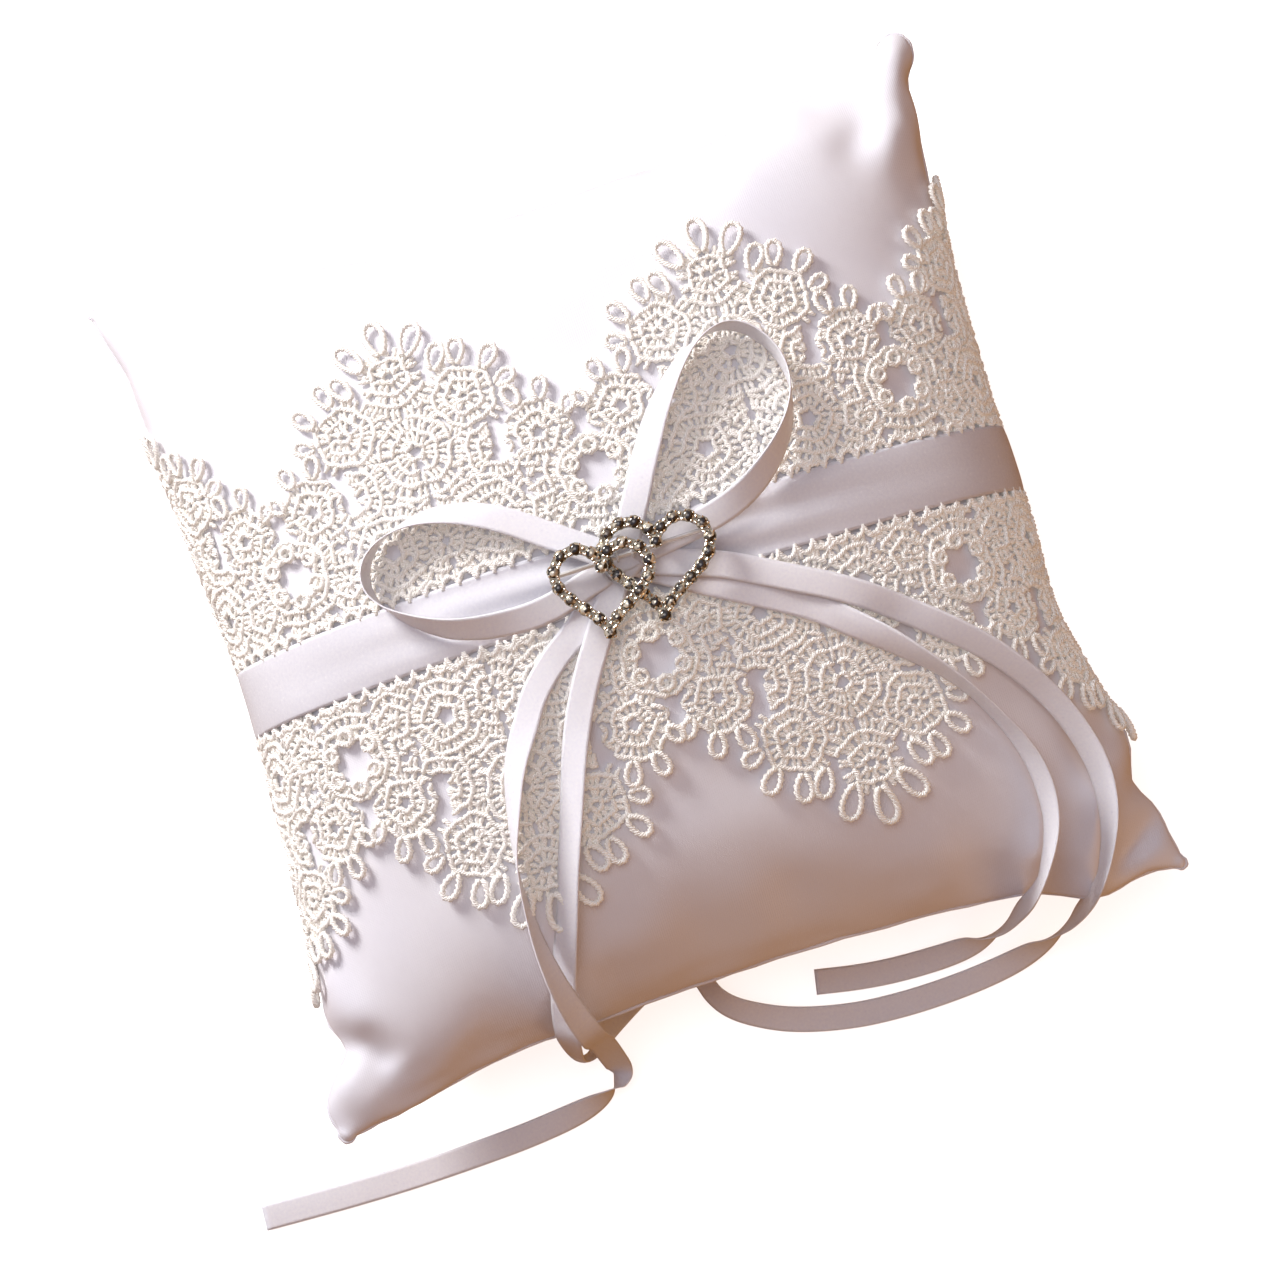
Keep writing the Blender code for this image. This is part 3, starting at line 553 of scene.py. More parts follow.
def skin(alpha, beta):
    """The satin's plain shape: alpha goes round the cushion along X, beta from bottom to top seam."""
    alpha, beta = np.broadcast_arrays(np.asarray(alpha, float), np.asarray(beta, float))
    x = np.sin(alpha) * (HALF_X - EDGE_PULL * np.cos(beta) ** 2)
    y = np.sin(beta) * (HALF_Y - EDGE_PULL * np.cos(alpha) ** 2)
    swell = np.cos(alpha) * np.cos(beta)
    face = SEAM_Z + SEAM_PART + FACE_RISE * np.maximum(swell, 0)
    back = SEAM_Z - SEAM_PART - BACK_DROP * (1 - (1 + np.minimum(swell, 0)) ** 3)
    return np.stack([x, y, np.where(swell >= 0, face, back)], -1)


def skin_normal(alpha, beta):
    step = 0.004
    along = skin(alpha + step, beta) - skin(alpha - step, beta)
    across = skin(alpha, np.asarray(beta) + step) - skin(alpha, np.asarray(beta) - step)
    return unit(np.cross(along, across))


def near_line(points, line):
    """Distance in the XY plane from each point to a line of points."""
    best = np.full(len(points), 1e9)
    for a, b in zip(line, line[1:]):
        a = np.array(a) * MM
        b = np.array(b) * MM
        share = np.clip(((points - a) @ (b - a)) / max(float((b - a) @ (b - a)), 1e-12), 0, 1)
        best = np.minimum(best, np.linalg.norm(points - (a + share[:, None] * (b - a)), axis=1))
    return best


def rounded_corners(points):
    """Turn each sharp corner into a rounded tip of its own width."""
    moved = points.copy()
    slope = 0.713  # half width of the plain corner over its depth
    for (way_x, way_y), half_width, length in CORNERS:
        corner = np.array([way_x * HALF_X, way_y * HALF_Y])
        inward = np.array([-way_x, -way_y]) / math.sqrt(2)
        side = np.array([inward[1], -inward[0]])
        apart = points[:, :2] - corner
        deep = np.maximum(apart @ inward / MM, 0.02)
        across = apart @ side / MM
        cap = half_width * np.sqrt(np.maximum(1 - (1 - np.minimum(deep / half_width, 1)) ** 2, 0))
        wedge = slope * deep
        blend = np.clip((deep - half_width) / (length - half_width), 0, 1)
        blend = blend * blend * (3 - 2 * blend)
        goal = cap * (1 - blend) + wedge * blend
        factor = np.where(deep < length, goal / wedge, 1)
        shift = across * (factor - 1)
        near = (deep < length) & (np.abs(across) < 1.3 * wedge + 0.1)
        moved[near, :2] += (shift[near] * MM)[:, None] * side
        lift = TIP_LIFT * half_width * np.exp(-(((deep - half_width) / half_width) ** 2))
        inside = np.clip(1 - (across / np.maximum(wedge, 0.01)) ** 2, 0, 1)
        up = near & (points[:, 2] > SEAM_Z + 1e-5)
        moved[up, 2] += (lift * inside)[up] * MM
    return moved


def tucked(points):
    """The plain shape with the folds and tucks of its corners and edges."""
    moved = rounded_corners(points)
    for place, move, spread in RIM_TUCKS:
        apart = np.linalg.norm((points - np.array(place) * MM) * (1, 1, 0.6), axis=1)
        moved = moved + np.exp(-((apart / (spread * MM)) ** 2))[:, None] * np.array(move) * MM
    above = np.clip((points[:, 2] - SEAM_Z) / (6 * MM), 0, 1)
    for line, height, spread in FACE_CREASES:
        apart = near_line(points[:, :2], line)
        moved[:, 2] += above * height * MM * np.exp(-((apart / (spread * MM)) ** 2))
    return moved


def cushion_grid():
    """Vertices and faces of the closed cushion; its face and back share the seam."""
    angles = np.linspace(-math.pi / 2, math.pi / 2, SKIN_CELLS + 1)
    alpha, beta = np.meshgrid(angles, angles, indexing="ij")
    face = skin(alpha, beta).reshape(-1, 3)
    back = skin(math.pi - alpha, beta).reshape(-1, 3)
    count = SKIN_CELLS + 1
    index = np.arange(count * count).reshape(count, count)
    inside = np.zeros((count, count), bool)
    inside[1:-1, 1:-1] = True
    back_index = index.copy()
    back_index[inside] = count * count + np.arange(inside.sum())
    rim = ~inside.ravel()
    face[rim, 2] = SEAM_Z
    verts = np.concatenate([face, back[inside.ravel()]])
    faces = np.concatenate([quads(index), quads(back_index)[:, ::-1]])
    loop = np.concatenate([index[:-1, 0], index[-1, :-1], index[:0:-1, -1], index[0, :0:-1]])
    return verts, faces, loop


def puffed(piece, rim_loop):
    """Blow the satin up with cloth pressure, and return where its points end."""
    group = piece.vertex_groups.new(name="seam")
    group.add([int(k) for k in rim_loop], 1.0, "REPLACE")
    cloth = piece.modifiers.new("Cloth", "CLOTH")
    for key, value in CLOTH.items():
        setattr(cloth.settings, key, value)
    cloth.settings.vertex_group_mass = "seam"
    cloth.settings.effector_weights.gravity = 0
    cloth.point_cache.frame_start = 1
    cloth.point_cache.frame_end = CLOTH_STEPS + 2
    scene = bpy.context.scene
    for k in range(1, CLOTH_STEPS + 1):
        scene.frame_set(k)
    seen = piece.evaluated_get(bpy.context.evaluated_depsgraph_get())
    ends = np.empty(len(seen.data.vertices) * 3)
    seen.data.vertices.foreach_get("co", ends)
    piece.modifiers.remove(cloth)
    piece.vertex_groups.remove(group)
    scene.frame_set(1)
    return ends.reshape(-1, 3)


def smoothed(values, faces, rounds):
    """Average each vertex's value with its neighbours'."""
    pairs = np.concatenate([faces[:, [k, (k + 1) % 4]] for k in range(4)])
    count = np.bincount(pairs.ravel(), minlength=len(values))[:, None]
    for _ in range(rounds):
        total = np.zeros_like(values)
        np.add.at(total, pairs[:, 0], values[pairs[:, 1]])
        np.add.at(total, pairs[:, 1], values[pairs[:, 0]])
        values = 0.5 * values + 0.5 * total / np.maximum(count, 1)
    return values


def held_back(move, verts):
    """The simulated movement, limited so that the satin stays under what lies on it."""
    outer = np.clip((np.abs(verts[:, 1:2]) - WRAP_EDGE) / WRAP_BLEND, PUFF_UNDER_WRAP, 1)
    from_middle = np.linalg.norm(verts[:, :2], axis=1, keepdims=True)
    corner = np.clip(1.6 - from_middle / CORNER_REACH, 0, 1)
    size = np.linalg.norm(move, axis=1, keepdims=True)
    move = move * np.minimum(1, PUFF_LIMIT * outer * corner / np.maximum(size, 1e-9))
    move[verts[:, 2] < SEAM_Z - 0.8 * BACK_DROP] *= PUFF_UNDERSIDE
    under_tails = (verts[:, 1] < 0) & (verts[:, 2] > SEAM_Z)
    move[under_tails, 2] = np.minimum(move[under_tails, 2], PUFF_UNDER_TAILS)
    return move


def make_cushion(finish):
    """One padded cushion for both panels and the filling, with a subdivided satin skin."""
    verts, faces, rim_loop = cushion_grid()
    shaped = tucked(verts)
    piece = add_mesh("satin_cushion", shaped, [faces], finish)
    ends = puffed(piece, rim_loop)
    shaped = shaped + smoothed(held_back(ends - shaped, verts), faces, 2)
    shaped[:, 2] = np.maximum(shaped[:, 2], LIFT_OFF_FLOOR)
    piece.data.vertices.foreach_set("co", shaped.ravel())
    piece.data.update()
    smooth = piece.modifiers.new("Subdivision", "SUBSURF")
    smooth.levels = 1
    smooth.render_levels = 1
    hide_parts("cover_front", "cover_back", "fibre_fill")
    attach(piece, "cushion")
    make_seam(piece, rim_loop, finish)
    return piece


def make_seam(piece, rim_loop, finish):
    """The raised, slightly puckered seam where the two panels meet."""
    line = np.array([piece.data.vertices[k].co for k in rim_loop])
    middle = line.mean(0)
    out = unit((line - middle) * (1, 1, 0))
    ahead = unit(np.roll(line, -1, 0) - np.roll(line, 1, 0))
    up = np.cross(out, ahead)
    count = len(line)
    pucker = 1 + 0.18 * np.sin(np.arange(count) * 2.1)
    ring = rings(out, 0.7 * unit(up), SEAM_SIDES)
    verts = line[:, None] - out[:, None] * 0.1 * MM + ring * (SEAM_RADIUS * pucker)[:, None, None]
    index = np.arange(count * SEAM_SIDES).reshape(count, SEAM_SIDES)
    ahead_index = np.roll(index, -1, axis=0)
    faces = np.stack([
        index, ahead_index, np.roll(ahead_index, -1, axis=1), np.roll(index, -1, axis=1),
    ], -1).reshape(-1, 4)
    made = add_mesh("cushion_seam", verts.reshape(-1, 3), [faces], finish)
    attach(made, "cushion")


def cushion_tree(piece):
    seen = piece.evaluated_get(bpy.context.evaluated_depsgraph_get())
    return BVHTree.FromObject(seen, bpy.context.evaluated_depsgraph_get())


class Wrap:
    """Places round the cushion: arc from the middle of the face along X, and out along Y."""

    def __init__(self, tree):
        steps = 720
        self.angles = np.linspace(-math.pi, math.pi, 2 * steps + 1)
        line = skin(self.angles, 0.0)
        lengths = np.concatenate([[0], np.cumsum(np.linalg.norm(np.diff(line, axis=0), axis=1))])
        self.arcs = lengths - lengths[steps]
        self.girth = lengths[-1]
        self.columns = np.linspace(self.arcs[0], self.arcs[-1], WRAP_COLUMNS)
        self.rows = np.linspace(-WRAP_REACH, WRAP_REACH, WRAP_ROWS)
        self.lift = np.zeros((len(self.columns), len(self.rows)))
        arc, out = np.meshgrid(self.columns, self.rows, indexing="ij")
        spots, away = self.plain(arc, out)
        above = 0.02
        for i, j in np.ndindex(self.lift.shape):
            start = Vector(spots[i, j] + away[i, j] * above)
            hit = tree.ray_cast(start, Vector(-away[i, j]), 2 * above)
            if hit[0] is not None:
                self.lift[i, j] = above - hit[3]

    def plain(self, arc, out):
        alpha = np.interp(arc, self.arcs, self.angles)
        reach = HALF_Y - EDGE_PULL * np.cos(alpha) ** 2
        beta = np.arcsin(np.clip(out / reach, -0.999, 0.999))
        return skin(alpha, beta), skin_normal(alpha, beta)

    def raised(self, arc, out):
        """How far the real satin stands over the plain shape there."""
        x = np.interp(arc, self.columns, np.arange(len(self.columns)))
        y = np.interp(out, self.rows, np.arange(len(self.rows)))
        i = np.minimum(x.astype(int), len(self.columns) - 2)
        j = np.minimum(y.astype(int), len(self.rows) - 2)
        u = x - i
        v = y - j
        lower = self.lift[i, j] * (1 - u) + self.lift[i + 1, j] * u
        upper = self.lift[i, j + 1] * (1 - u) + self.lift[i + 1, j + 1] * u
        return lower * (1 - v) + upper * v

    def place(self, arc, out, height):
        """Points at that height over the satin, never under the floor, and the way away from it."""
        spots, away = self.plain(arc, out)
        points = spots + away * (self.raised(arc, out) + height)[..., None]
        points[..., 2] = np.maximum(points[..., 2], 0.0002)
        return points, away


# Wide band

def make_band(wrap, finish):
    """The wide satin ribbon, softly pleated where the bow gathers it."""
    end = wrap.girth / 2 - 0.4 * MM
    arcs = np.linspace(-end, end, BAND_COLUMNS)
    shares = np.linspace(-1, 1, BAND_CELLS + 1)
    arc, share = np.meshgrid(arcs, shares, indexing="ij")
    pinch = np.exp(-((arc / PINCH_REACH) ** 2))
    half = BAND_HALF - (BAND_HALF - BAND_WAIST_HALF) * pinch
    near = np.exp(-((arc / PLEAT_REACH) ** 2))
    pleat = -(0.5 - 0.5 * np.cos(share * 6.6 + np.sign(arc) * 0.9 + arc * 30)) * PLEAT_DEPTH * near
    ripple = 0.12 * MM * np.sin(arc * 190 + share * 1.5) * (1 - near)
    droop = -0.25 * MM * share ** 4
    height = WRAP - BAND_THICKNESS / 2 - 0.1 * MM + pleat + ripple + droop
    points, _ = wrap.place(arc, share * half, height)
    faces = quads(np.arange(arc.size).reshape(arc.shape))
    uvs = np.stack([share.ravel() * BAND_HALF / MM, arc.ravel() / MM], -1)
    piece = add_mesh("wide_satin_band", points.reshape(-1, 3), [faces], finish, uvs)
    solid = piece.modifiers.new("Solidify", "SOLIDIFY")
    solid.thickness = BAND_THICKNESS
    solid.offset = 0
    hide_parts("satin_band")
    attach(piece, "cushion")
    length = line_length(points[:, BAND_CELLS // 2])


# Lace

def lace_inside(points, half):
    """Which pattern points the lace covers."""
    across, out = points[:, 0], points[:, 1]
    inside = (out > LACE_START) & (out < BODY_OUT)
    for x, y, radius in LOBES:
        inside |= (np.hypot(across - x, out - y) < radius) & (out > LACE_START)
    return inside & (across >= -0.01) & (across <= half + 0.01)


def lace_owner(points, half):
    """The motif that each pattern point belongs to, counting the mirrored motifs."""
    best = np.full(len(points), 1e9)
    owner = np.full(len(points), -1)
    for k, (x, y, hole, _) in enumerate(MOTIFS):
        for centre in (x, -x, 2 * half - x):
            apart = np.hypot(points[:, 0] - centre, points[:, 1] - y) - hole * 1.3
            closer = apart < best
            best[closer] = apart[closer]
            owner[closer] = k
    return owner


def runs(mask):
    """Start and end of each stretch where mask holds."""
    edges = np.flatnonzero(np.diff(np.concatenate([[0], mask.astype(int), [0]])))
    return list(zip(edges[::2], edges[1::2]))


def ring_radii(hole, spacing):
    """Radii of the rings round a motif, out to where another motif always rules."""
    radius = hole
    while radius < MOTIF_REACH:
        yield radius
        radius += spacing


def direction(angle):
    """The way at that angle in the pattern, and the way across it."""
    way = np.array([math.cos(angle), math.sin(angle)])
    return way, np.array([-way[1], way[0]])


def circle_cords(half, k, ring, radius):
    """The parts of one ring round motif k that lie where that motif rules."""
    x, y = MOTIFS[k][:2]
    count = max(12, round(2 * math.pi * radius / LACE_STEP))
    turn = np.linspace(0, 2 * math.pi, count + 1)
    reach = radius + 0.34 * np.sin(turn * 5 + k) + 0.2 * np.sin(turn * 11 + ring)
    circle = np.stack([x + reach * np.cos(turn), y + reach * np.sin(turn)], -1)
    keep = lace_inside(circle, half) & (lace_owner(circle, half) == k)
    return [(circle[a:b], 1.08, 0.5) for a, b in runs(keep) if b - a > 3]


def stitch_cords(half, k, ring, radius, rng):
    """The short radial stitches between one ring and the next."""
    x, y, _, spacing = MOTIFS[k]
    lines = []
    shares = np.linspace(0.02, 1.0, 6)
    stitches = max(7, round(2 * math.pi * (radius + spacing / 2) / STITCH_PITCH))
    for n in range(stitches):
        way, side = direction(2 * math.pi * (n + 0.5 * (ring % 2)) / stitches + rng.normal(0, 0.02))
        slant = rng.normal(0, 0.30)
        bow = rng.normal(0, 0.25)
        line = np.array([x, y]) + (radius + shares * spacing)[:, None] * way
        line = line + (slant * shares + bow * np.sin(shares * math.pi))[:, None] * side
        middle = line[2:4].mean(0)[None]
        if lace_inside(middle, half)[0] and lace_owner(middle, half)[0] == k:
            lines.append((line, 0.96, 0.05 + 0.35 * rng.random()))
    return lines


def ring_cords(half):
    """Lines of the lace's body, each with its thickness and height: rings and stitches round each motif."""
    lines = []
    rng = np.random.default_rng(7)
    for k, (_, _, hole, spacing) in enumerate(MOTIFS):
        for ring, radius in enumerate(ring_radii(hole, spacing)):
            lines += circle_cords(half, k, ring, radius)
            lines += stitch_cords(half, k, ring, radius, rng)
    return lines


def picot_cords():
    """Beaded loops along the lace's edge."""
    lines = []
    for x, y, degrees, length, half_width in PICOTS:
        way, side = direction(math.radians(degrees))
        turn = np.linspace(-0.47 * math.pi, 1.47 * math.pi, 26)
        swell = half_width * (0.80 + 0.20 * np.sin(turn))
        loop = np.array([x, y]) + (length / 2 * (1 + np.sin(turn)))[:, None] * way
        loop = loop + (swell * np.cos(turn))[:, None] * side
        lines.append((loop, 1.15, 1.0))
    return lines


def star_cords(half):
    """Small rings round the star-shaped openings, which stand where two half scallops meet."""
    lines = []
    turn = np.linspace(0, 2 * math.pi, 15)
    for k in range(6):
        way, _ = direction(math.radians(30 + 60 * k))
        centre = np.array([half, STAR_OUT]) + STAR_RADIUS * way
        ring = centre + STAR_RING * np.stack([np.cos(turn), np.sin(turn)], -1)
        if centre[0] < half + 0.2:
            lines.append((ring[ring[:, 0] <= half + 1.7], 1.05, 0.8))
    return lines


def edge_cords(half):
    """Open arcs where the lace meets the band."""
    lines = []
    count = 9
    width = half / count
    for k in range(count):
        turn = np.linspace(math.pi, 0, 9)
        centre = (k + 0.5) * width
        line = np.stack([centre + width / 2 * np.cos(turn), LACE_START - 1.4 + 2.6 * np.sin(turn)], -1)
        lines.append((line, 1.05, 0.6))
    return lines


def respaced(line, step):
    """The same line, its points evenly about step apart."""
    lengths = np.concatenate([[0], np.cumsum(np.linalg.norm(np.diff(line, axis=0), axis=1))])
    count = max(3, round(lengths[-1] / step) + 1)
    marks = np.linspace(0, lengths[-1], count)
    return np.stack([np.interp(marks, lengths, line[:, k]) for k in range(2)], -1)


def laid_lines(wrap, lines, half):
    """Every copy of the pattern's lines, laid on the cushion: points, ways away from it, thickness."""
    laid = []
    rng = np.random.default_rng(11)
    copies = [
        (repeat, mirror, edge) for repeat in range(LACE_REPEATS) for mirror in (1, -1) for edge in (1, -1)
    ]
    for line, thick, height in lines:
        flat = respaced(line, LACE_STEP)
        for repeat, mirror, edge in copies:
            tip = (repeat - LACE_REPEATS / 2 + 0.5) * 2 * half
            shake = rng.normal(0, 0.06, 2)
            arc = (tip + mirror * flat[:, 0] + shake[0]) * MM
            out = (edge * flat[:, 1] + shake[1]) * MM
            tip_rise = 0.03 * np.clip(flat[:, 1] - TIP_START, 0, 14)
            rise = height + tip_rise + rng.normal(0, 0.05)
            points, away = wrap.place(arc, out, (CORD_RISE + rise) * MM)
            laid.append((points, away, thick))
    return laid


def lace_tubes(wrap, lines, half):
    """Beaded tubes with closed ends along every copy of the pattern's lines."""
    start = 0
    verts = []
    walls = []
    ends = []
    uvs = []
    for points, away, thick in laid_lines(wrap, lines, half):
        count = len(points)
        ahead = unit(np.gradient(points, axis=0))
        side = unit(np.cross(away, ahead))
        bead = np.where(np.arange(count) % 2 == 0, 1.32, 0.78) * thick * CORD_RADIUS * MM
        bead[[0, -1]] *= 0.6
        ring = rings(side, np.cross(ahead, side), LACE_SIDES)
        verts.append((points[:, None] + ring * bead[:, None, None]).reshape(-1, 3))
        index = start + np.arange(count * LACE_SIDES).reshape(count, LACE_SIDES)
        start += index.size
        after = np.roll(index, -1, axis=1)
        walls.append(np.stack([index[:-1], after[:-1], after[1:], index[1:]], -1).reshape(-1, 4))
        ends.append(np.stack([index[0][::-1], index[-1]]))
        along = np.repeat(np.arange(count) * LACE_STEP, LACE_SIDES)
        around = np.tile(np.arange(LACE_SIDES) / LACE_SIDES * 2.7, count)
        uvs.append(np.stack([along, around], -1))
    verts = np.concatenate(verts)
    verts[:, 2] = np.maximum(verts[:, 2], 0.0)
    return verts, [np.concatenate(walls), np.concatenate(ends)], np.concatenate(uvs)


def make_lace(wrap, finish):
    """Corded openwork lace, both edges, all the way round."""
    half = wrap.girth / MM / LACE_REPEATS / 2
    verts, face_groups, uvs = lace_tubes(wrap, ring_cords(half), half)
    piece = add_mesh("corded_lace", verts, face_groups, finish, uvs)
    edging_lines = picot_cords() + star_cords(half) + edge_cords(half)
    verts, face_groups, uvs = lace_tubes(wrap, edging_lines, half)
    edging = add_mesh("lace_picot_edging", verts, face_groups, finish, uvs)
    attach(edging, "cushion")
    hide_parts("lace_band")
    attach(piece, "cushion")


# Bow

def ribbon_rise(gap, lean):
    """Height of a ribbon's middle line over what it lies on."""
    return gap * MM + (RIBBON_WIDTH * abs(math.sin(math.radians(lean))) + RIBBON_THICKNESS) / 2


def skin_angles(x, y):
    """The satin's two angles at a place seen from above."""
    sine_a = x / HALF_X
    sine_b = y / HALF_Y
    for _ in range(40):
        sine_a = min(1.0, max(-1.0, x / (HALF_X - EDGE_PULL * (1 - sine_b ** 2))))
        sine_b = min(1.0, max(-1.0, y / (HALF_Y - EDGE_PULL * (1 - sine_a ** 2))))
    return math.asin(sine_a), math.asin(sine_b)


def face_station(x, y, gap, lean):
    """Where a ribbon's middle runs over the cushion, and the direction away from the satin."""
    alpha, beta = skin_angles(x * MM, y * MM)
    away = skin_normal(alpha, beta)
    return skin(alpha, beta) + away * (WRAP + ribbon_rise(gap, lean)), away


def table_station(x, y, gap, lean):
    """The same past the edge: on the table, or hanging down to it with its face turned to the front."""
    hang = min(1.0, gap * MM / SEAM_Z)
    away = unit(np.array([0.0, -hang, 1 - hang]))
    return np.array([x * MM, y * MM, ribbon_rise(gap, lean)]), away


def spline(values, share):
    """Catmull-Rom through values; share runs from 0 to 1."""
    place = share * (len(values) - 1)
    k = min(int(place), len(values) - 2)
    t = place - k
    first = values[k - 1] if k > 0 else 2 * values[k] - values[k + 1]
    last = values[k + 2] if k + 2 < len(values) else 2 * values[k + 1] - values[k]
    bend = 2 * first - 5 * values[k] + 4 * values[k + 1] - last
    turn = 3 * values[k] - first - 3 * values[k + 1] + last
    return (2 * values[k] + (values[k + 1] - first) * t + bend * t ** 2 + turn * t ** 3) / 2


def strip_faces(sections, ring):
    """The walls of a ribbon and its two closed ends."""
    index = np.arange(sections * ring).reshape(sections, ring)
    after = np.roll(index, -1, axis=1)
    walls = np.stack([index[:-1], index[1:], after[1:], after[:-1]], -1).reshape(-1, 4)
    cells = np.arange(RIBBON_CELLS)
    cap = np.stack([cells, cells + 1, ring - 2 - cells, ring - 1 - cells], -1)
    return np.concatenate([walls, cap, index[-1, 0] + cap[:, ::-1]])


def strip(name, places, aways, leans, width, finish):
    """A ribbon of thin closed cross sections along places, leaning as told; returns it and its line."""
    cuts = max(4, round(line_length(places) / RIBBON_STEP))
    across = np.linspace(-1, 1, RIBBON_CELLS + 1)
    both_ways = np.concatenate([across, across[::-1]])
    side_up = np.repeat((1, -1), len(across))
    edge = RIBBON_THICKNESS / 2 * (0.75 + 0.35 * both_ways ** 4)
    verts = []
    uvs = []
    line = []
    travelled = 0.0
    for share in np.linspace(0, 1, cuts + 1):
        middle = spline(places, share)
        ahead = unit(spline(places, min(1.0, share + 0.004)) - spline(places, max(0.0, share - 0.004)))
        side = unit(np.cross(spline(aways, share), ahead))
        lean = float(spline(leans, share))
        wide = side * math.cos(lean) + np.cross(ahead, side) * math.sin(lean)
        thick = np.cross(ahead, wide)
        if line:
            travelled += float(np.linalg.norm(middle - line[-1]))
        line.append(middle)
        cup = 0.10 * MM * (1 - both_ways ** 2) + 0.05 * MM * math.sin(travelled * 310)
        offset = both_ways[:, None] * wide * width / 2 + (cup + side_up * edge)[:, None] * thick
        verts.append(middle + offset)
        uvs.append(np.stack([both_ways * width / MM / 2, np.full(len(both_ways), travelled / MM)], -1))
    faces = strip_faces(cuts + 1, len(both_ways))
    return add_mesh(name, np.concatenate(verts), [faces], finish, np.concatenate(uvs)), line


def make_ribbon(node, finish):
    """One loop or tail of the bow, lying where its solid lies."""
    over = FACE_ROUTES[node]
    past = TABLE_ROUTES.get(node, ())
    stations = [face_station(*row) for row in over] + [table_station(*row) for row in past]
    leans = [math.radians(row[3]) for row in over + past]
    places = [place for place, _ in stations]
    aways = [away for _, away in stations]
    piece, line = strip(f"ribbon_{node}", places, aways, leans, RIBBON_WIDTH, finish)
    length = line_length(line)
    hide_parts(node)
    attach(piece, "cushion")
    tuple(line[0])
    [tuple(p) for p in line]


def make_knot(finish):
    """The gathered crossing under the buckle: ribbon ends piled over each other."""
    low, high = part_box("bow_knot")
    centre = (low + high) / 2
    pieces = []
    for k, (degrees, share, length) in enumerate(KNOT_PILE):
        way = Vector((math.cos(math.radians(degrees)), math.sin(math.radians(degrees)), 0))
        z = low.z + 0.25 * MM + (high.z - low.z - 0.5 * MM) * share
        places = []
        for t in np.linspace(-0.5, 0.5, 7):
            spot = centre + way * float(t) * length * MM
            drop = (2 * t) ** 2 * (0.25 + 0.5 * share) * MM
            places.append(np.array([spot.x, spot.y, z - drop]))
        aways = [np.array([0.0, 0.0, 1.0])] * 7
        piece, _ = strip(f"knot_fold_{k + 1}", places, aways, [0.05 * (k - 2)] * 7, KNOT_WIDTH, finish)
        pieces.append(piece)
    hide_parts("bow_knot")
    for piece in pieces:
        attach(piece, "cushion")


# Buckle

def ring_points(sides, levels):
    """Points of rings round the Z axis, each a radius, a height and its turn in steps."""
    points = []
    for radius, z, turn in levels:
        angles = 2 * math.pi * (np.arange(sides) + turn) / sides
        points.append(np.stack([radius * np.cos(angles), radius * np.sin(angles), np.full(sides, z)], -1))
    return np.concatenate(points)


def wall_faces(sides, level, slant=False):
    """Triangles between ring level and the next; a slanted wall's second ring is half a step on."""
    k = level * sides + np.arange(sides)
    after = level * sides + (np.arange(sides) + 1) % sides
    upper = k + sides
    upper_after = after + sides
    if slant:
        return np.concatenate([np.stack([k, after, upper], -1), np.stack([after, upper_after, upper], -1)])
    return np.concatenate([np.stack([k, after, upper_after], -1), np.stack([k, upper_after, upper], -1)])


def cap_faces(sides, level, up):
    """A fan of triangles that closes ring level."""
    k = level * sides + np.arange(1, sides - 1)
    first = np.full(sides - 2, level * sides)
    return np.stack([first, k, k + 1] if up else [first, k + 1, k], -1)


def stone_shape(radius, height):
    """A cut stone: a flat table, a ring of crown facets and a thin girdle."""
    sides = 8
    verts = ring_points(sides, (
        (radius, -0.25 * height, 0.5), (radius, 0.1 * height, 0.5), (radius * 0.82, 0.55 * height, 0.0),
        (radius * 0.5, height, 0.5),
    ))
    faces = [
        wall_faces(sides, 0), wall_faces(sides, 1), wall_faces(sides, 2, slant=True),
        cap_faces(sides, 3, up=True), cap_faces(sides, 0, up=False),
    ]
    return verts, np.concatenate(faces)


def ball_shape(radius):
    bm = bmesh.new()
    bmesh.ops.create_icosphere(bm, subdivisions=1, radius=radius)
    verts = np.array([v.co for v in bm.verts])
    faces = np.array([[v.index for v in face.verts] for face in bm.faces])
    bm.free()
    return verts, faces


def cup_shape(radius, height):
    """A setting: a short flared wall, hollow on top."""
    sides = 12
    verts = ring_points(sides, (
        (radius * 0.8, 0, 0), (radius, height, 0), (radius * 0.86, height, 0),
        (radius * 0.7, 0.15 * height, 0),
    ))
    faces = [wall_faces(sides, level) for level in range(3)]
    faces += [cap_faces(sides, 0, up=False), cap_faces(sides, 3, up=True)]
    return verts, np.concatenate(faces)


def gather(shapes):
    """Join (verts, faces) pairs into one pair."""
    verts = []
    faces = []
    start = 0
    for v, f in shapes:
        verts.append(v)
        faces.append(f + start)
        start += len(v)
    return np.concatenate(verts), np.concatenate(faces)


def turned(shape, degrees, place):
    """A shape turned about the Z axis and moved to its place."""
    verts, faces = shape
    turn = np.array(Matrix.Rotation(math.radians(degrees), 3, "Z"))
    return verts @ turn.T + np.array(place), faces


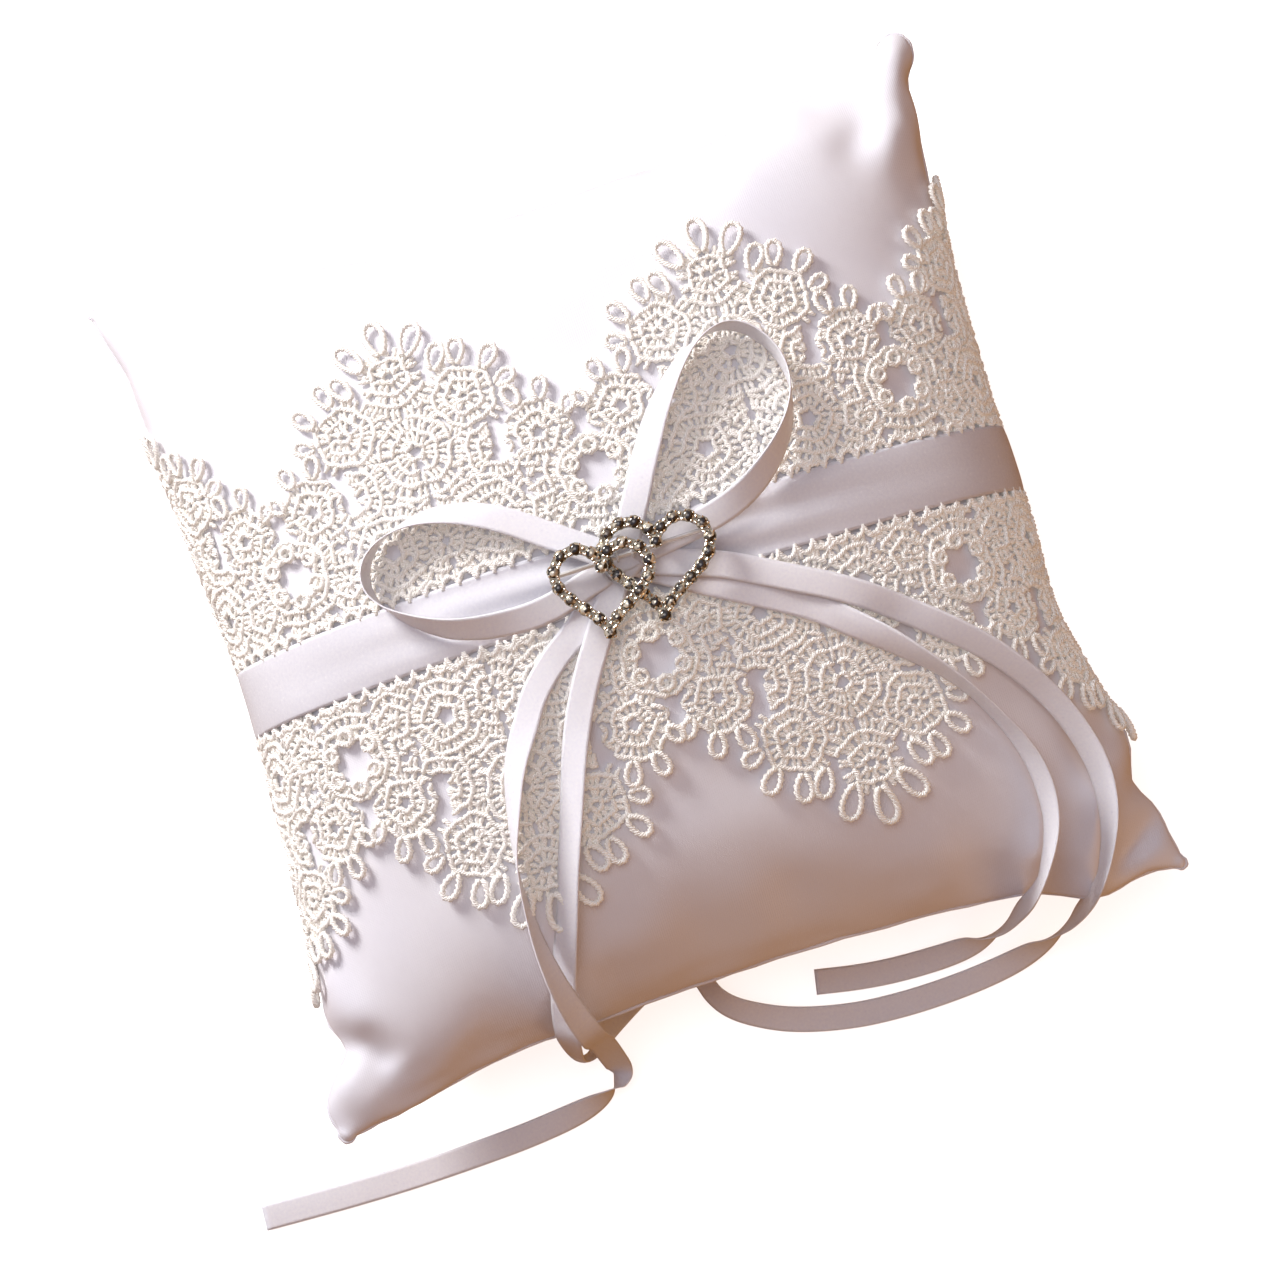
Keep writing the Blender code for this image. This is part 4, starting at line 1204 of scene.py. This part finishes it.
def heart_shapes(spots, low, rng):
    """The stones, cups and claws of one heart, with its stones' middles given in order."""
    stones = []
    cups = []
    claws = []
    for k, spot in enumerate(spots):
        after = spots[(k + 1) % len(spots)]
        before = spots[k - 1]
        way = math.degrees(math.atan2(after.y - before.y, after.x - before.x))
        spin = way + rng.uniform(0, 45)
        stone = stone_shape(STONE_RADIUS, STONE_HEIGHT)
        stones.append(turned(stone, spin, (spot.x, spot.y, low + 0.34 * MM)))
        cups.append(turned(cup_shape(CUP_RADIUS, CUP_HEIGHT), way, (spot.x, spot.y, low)))
        along = Matrix.Rotation(math.radians(way), 3, "Z")
        for corner in (45, 135, 225, 315):
            out = along @ Matrix.Rotation(math.radians(corner), 3, "Z") @ Vector((CLAW_REACH, 0, 0))
            place = (spot.x + out.x, spot.y + out.y, low + 0.6 * MM)
            claws.append(turned(ball_shape(CLAW_RADIUS), corner, place))
        for side in (-BEAD_REACH, BEAD_REACH):
            place = (spot + after) / 2 + along @ Vector((0, side, 0))
            claws.append(turned(ball_shape(BEAD_RADIUS), 20, (place.x, place.y, low + 0.3 * MM)))
    return stones, cups, claws


def make_stones(prefix, metal, painted_highlight_metal, crystal):
    """The stones of one heart with their settings and claws, each where its solid stands."""
    names = sorted(n for n in NODES if n.startswith(prefix))
    spots = [(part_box(n)[0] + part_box(n)[1]) / 2 for n in names]
    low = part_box(names[0])[0].z
    stones, cups, claws = heart_shapes(spots, low, np.random.default_rng(len(names)))
    verts, faces = gather(stones)
    piece = add_mesh(f"{prefix}set", verts, [faces], crystal, smooth=False)
    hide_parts(*names)
    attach(piece, "buckle")
    # The cups take the plating's copy with painted shade, and the claws and small balls its copy with
    # painted highlights.
    for part, shapes, finish in (("cups", cups, metal), ("claws", claws, painted_highlight_metal)):
        verts, faces = gather(shapes)
        setting = add_mesh(f"{prefix}{part}", verts, [faces], finish)
        setting.data.set_sharp_from_angle(angle=math.radians(35))
        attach(setting, "buckle")


# Everything

set_camera()
ribbon_satin = ribbon_finish("satin_ribbon", 2.0, 0.3)
for ribbon_node in FACE_ROUTES:
    make_ribbon(ribbon_node, ribbon_satin)

satin = satin_finish()
cushion = make_cushion(satin)
wrapping = Wrap(cushion_tree(cushion))
lace_cord = lace_finish()
make_lace(wrapping, lace_cord)
wide_satin = ribbon_finish("wide_satin_ribbon", 1.6, 0.24, (0.76, 0.75, 0.81), (0.82, 0.81, 0.85))
make_band(wrapping, wide_satin)
make_knot(ribbon_satin)

# Two copies of one plating: a dark one with painted shade for the heart frames and cups between the stones,
# and a bright one with painted highlights for the claws and small balls.
plated = metal_finish("plating_painted_shade", (0.13, 0.11, 0.08), (0.40, 0.35, 0.27), 0.25, 0.5)
polished = metal_finish("plating_painted_highlight", (0.86, 0.80, 0.66), (0.99, 0.95, 0.86), 0.18, 0.34)
wire = metal_finish("polished_wire", (0.84, 0.83, 0.81), (0.95, 0.94, 0.93), 0.2, 0.3, metallic=0.35)
crystal = crystal_finish()
make_stones("stone_large_", plated, polished, crystal)
make_stones("stone_small_", plated, polished, crystal)
thread = thread_finish()
# The heart frames take the plating's copy with painted shade.
for node, finish in (
    ("heart_frame_large", plated), ("heart_frame_small", plated), ("buckle_bar", wire),
    ("tack_stitch_1", thread), ("tack_stitch_2", thread),
):
    NODES[node].data.materials.clear()
    NODES[node].data.materials.append(finish)

add_floor(floor_finish())
set_lights()
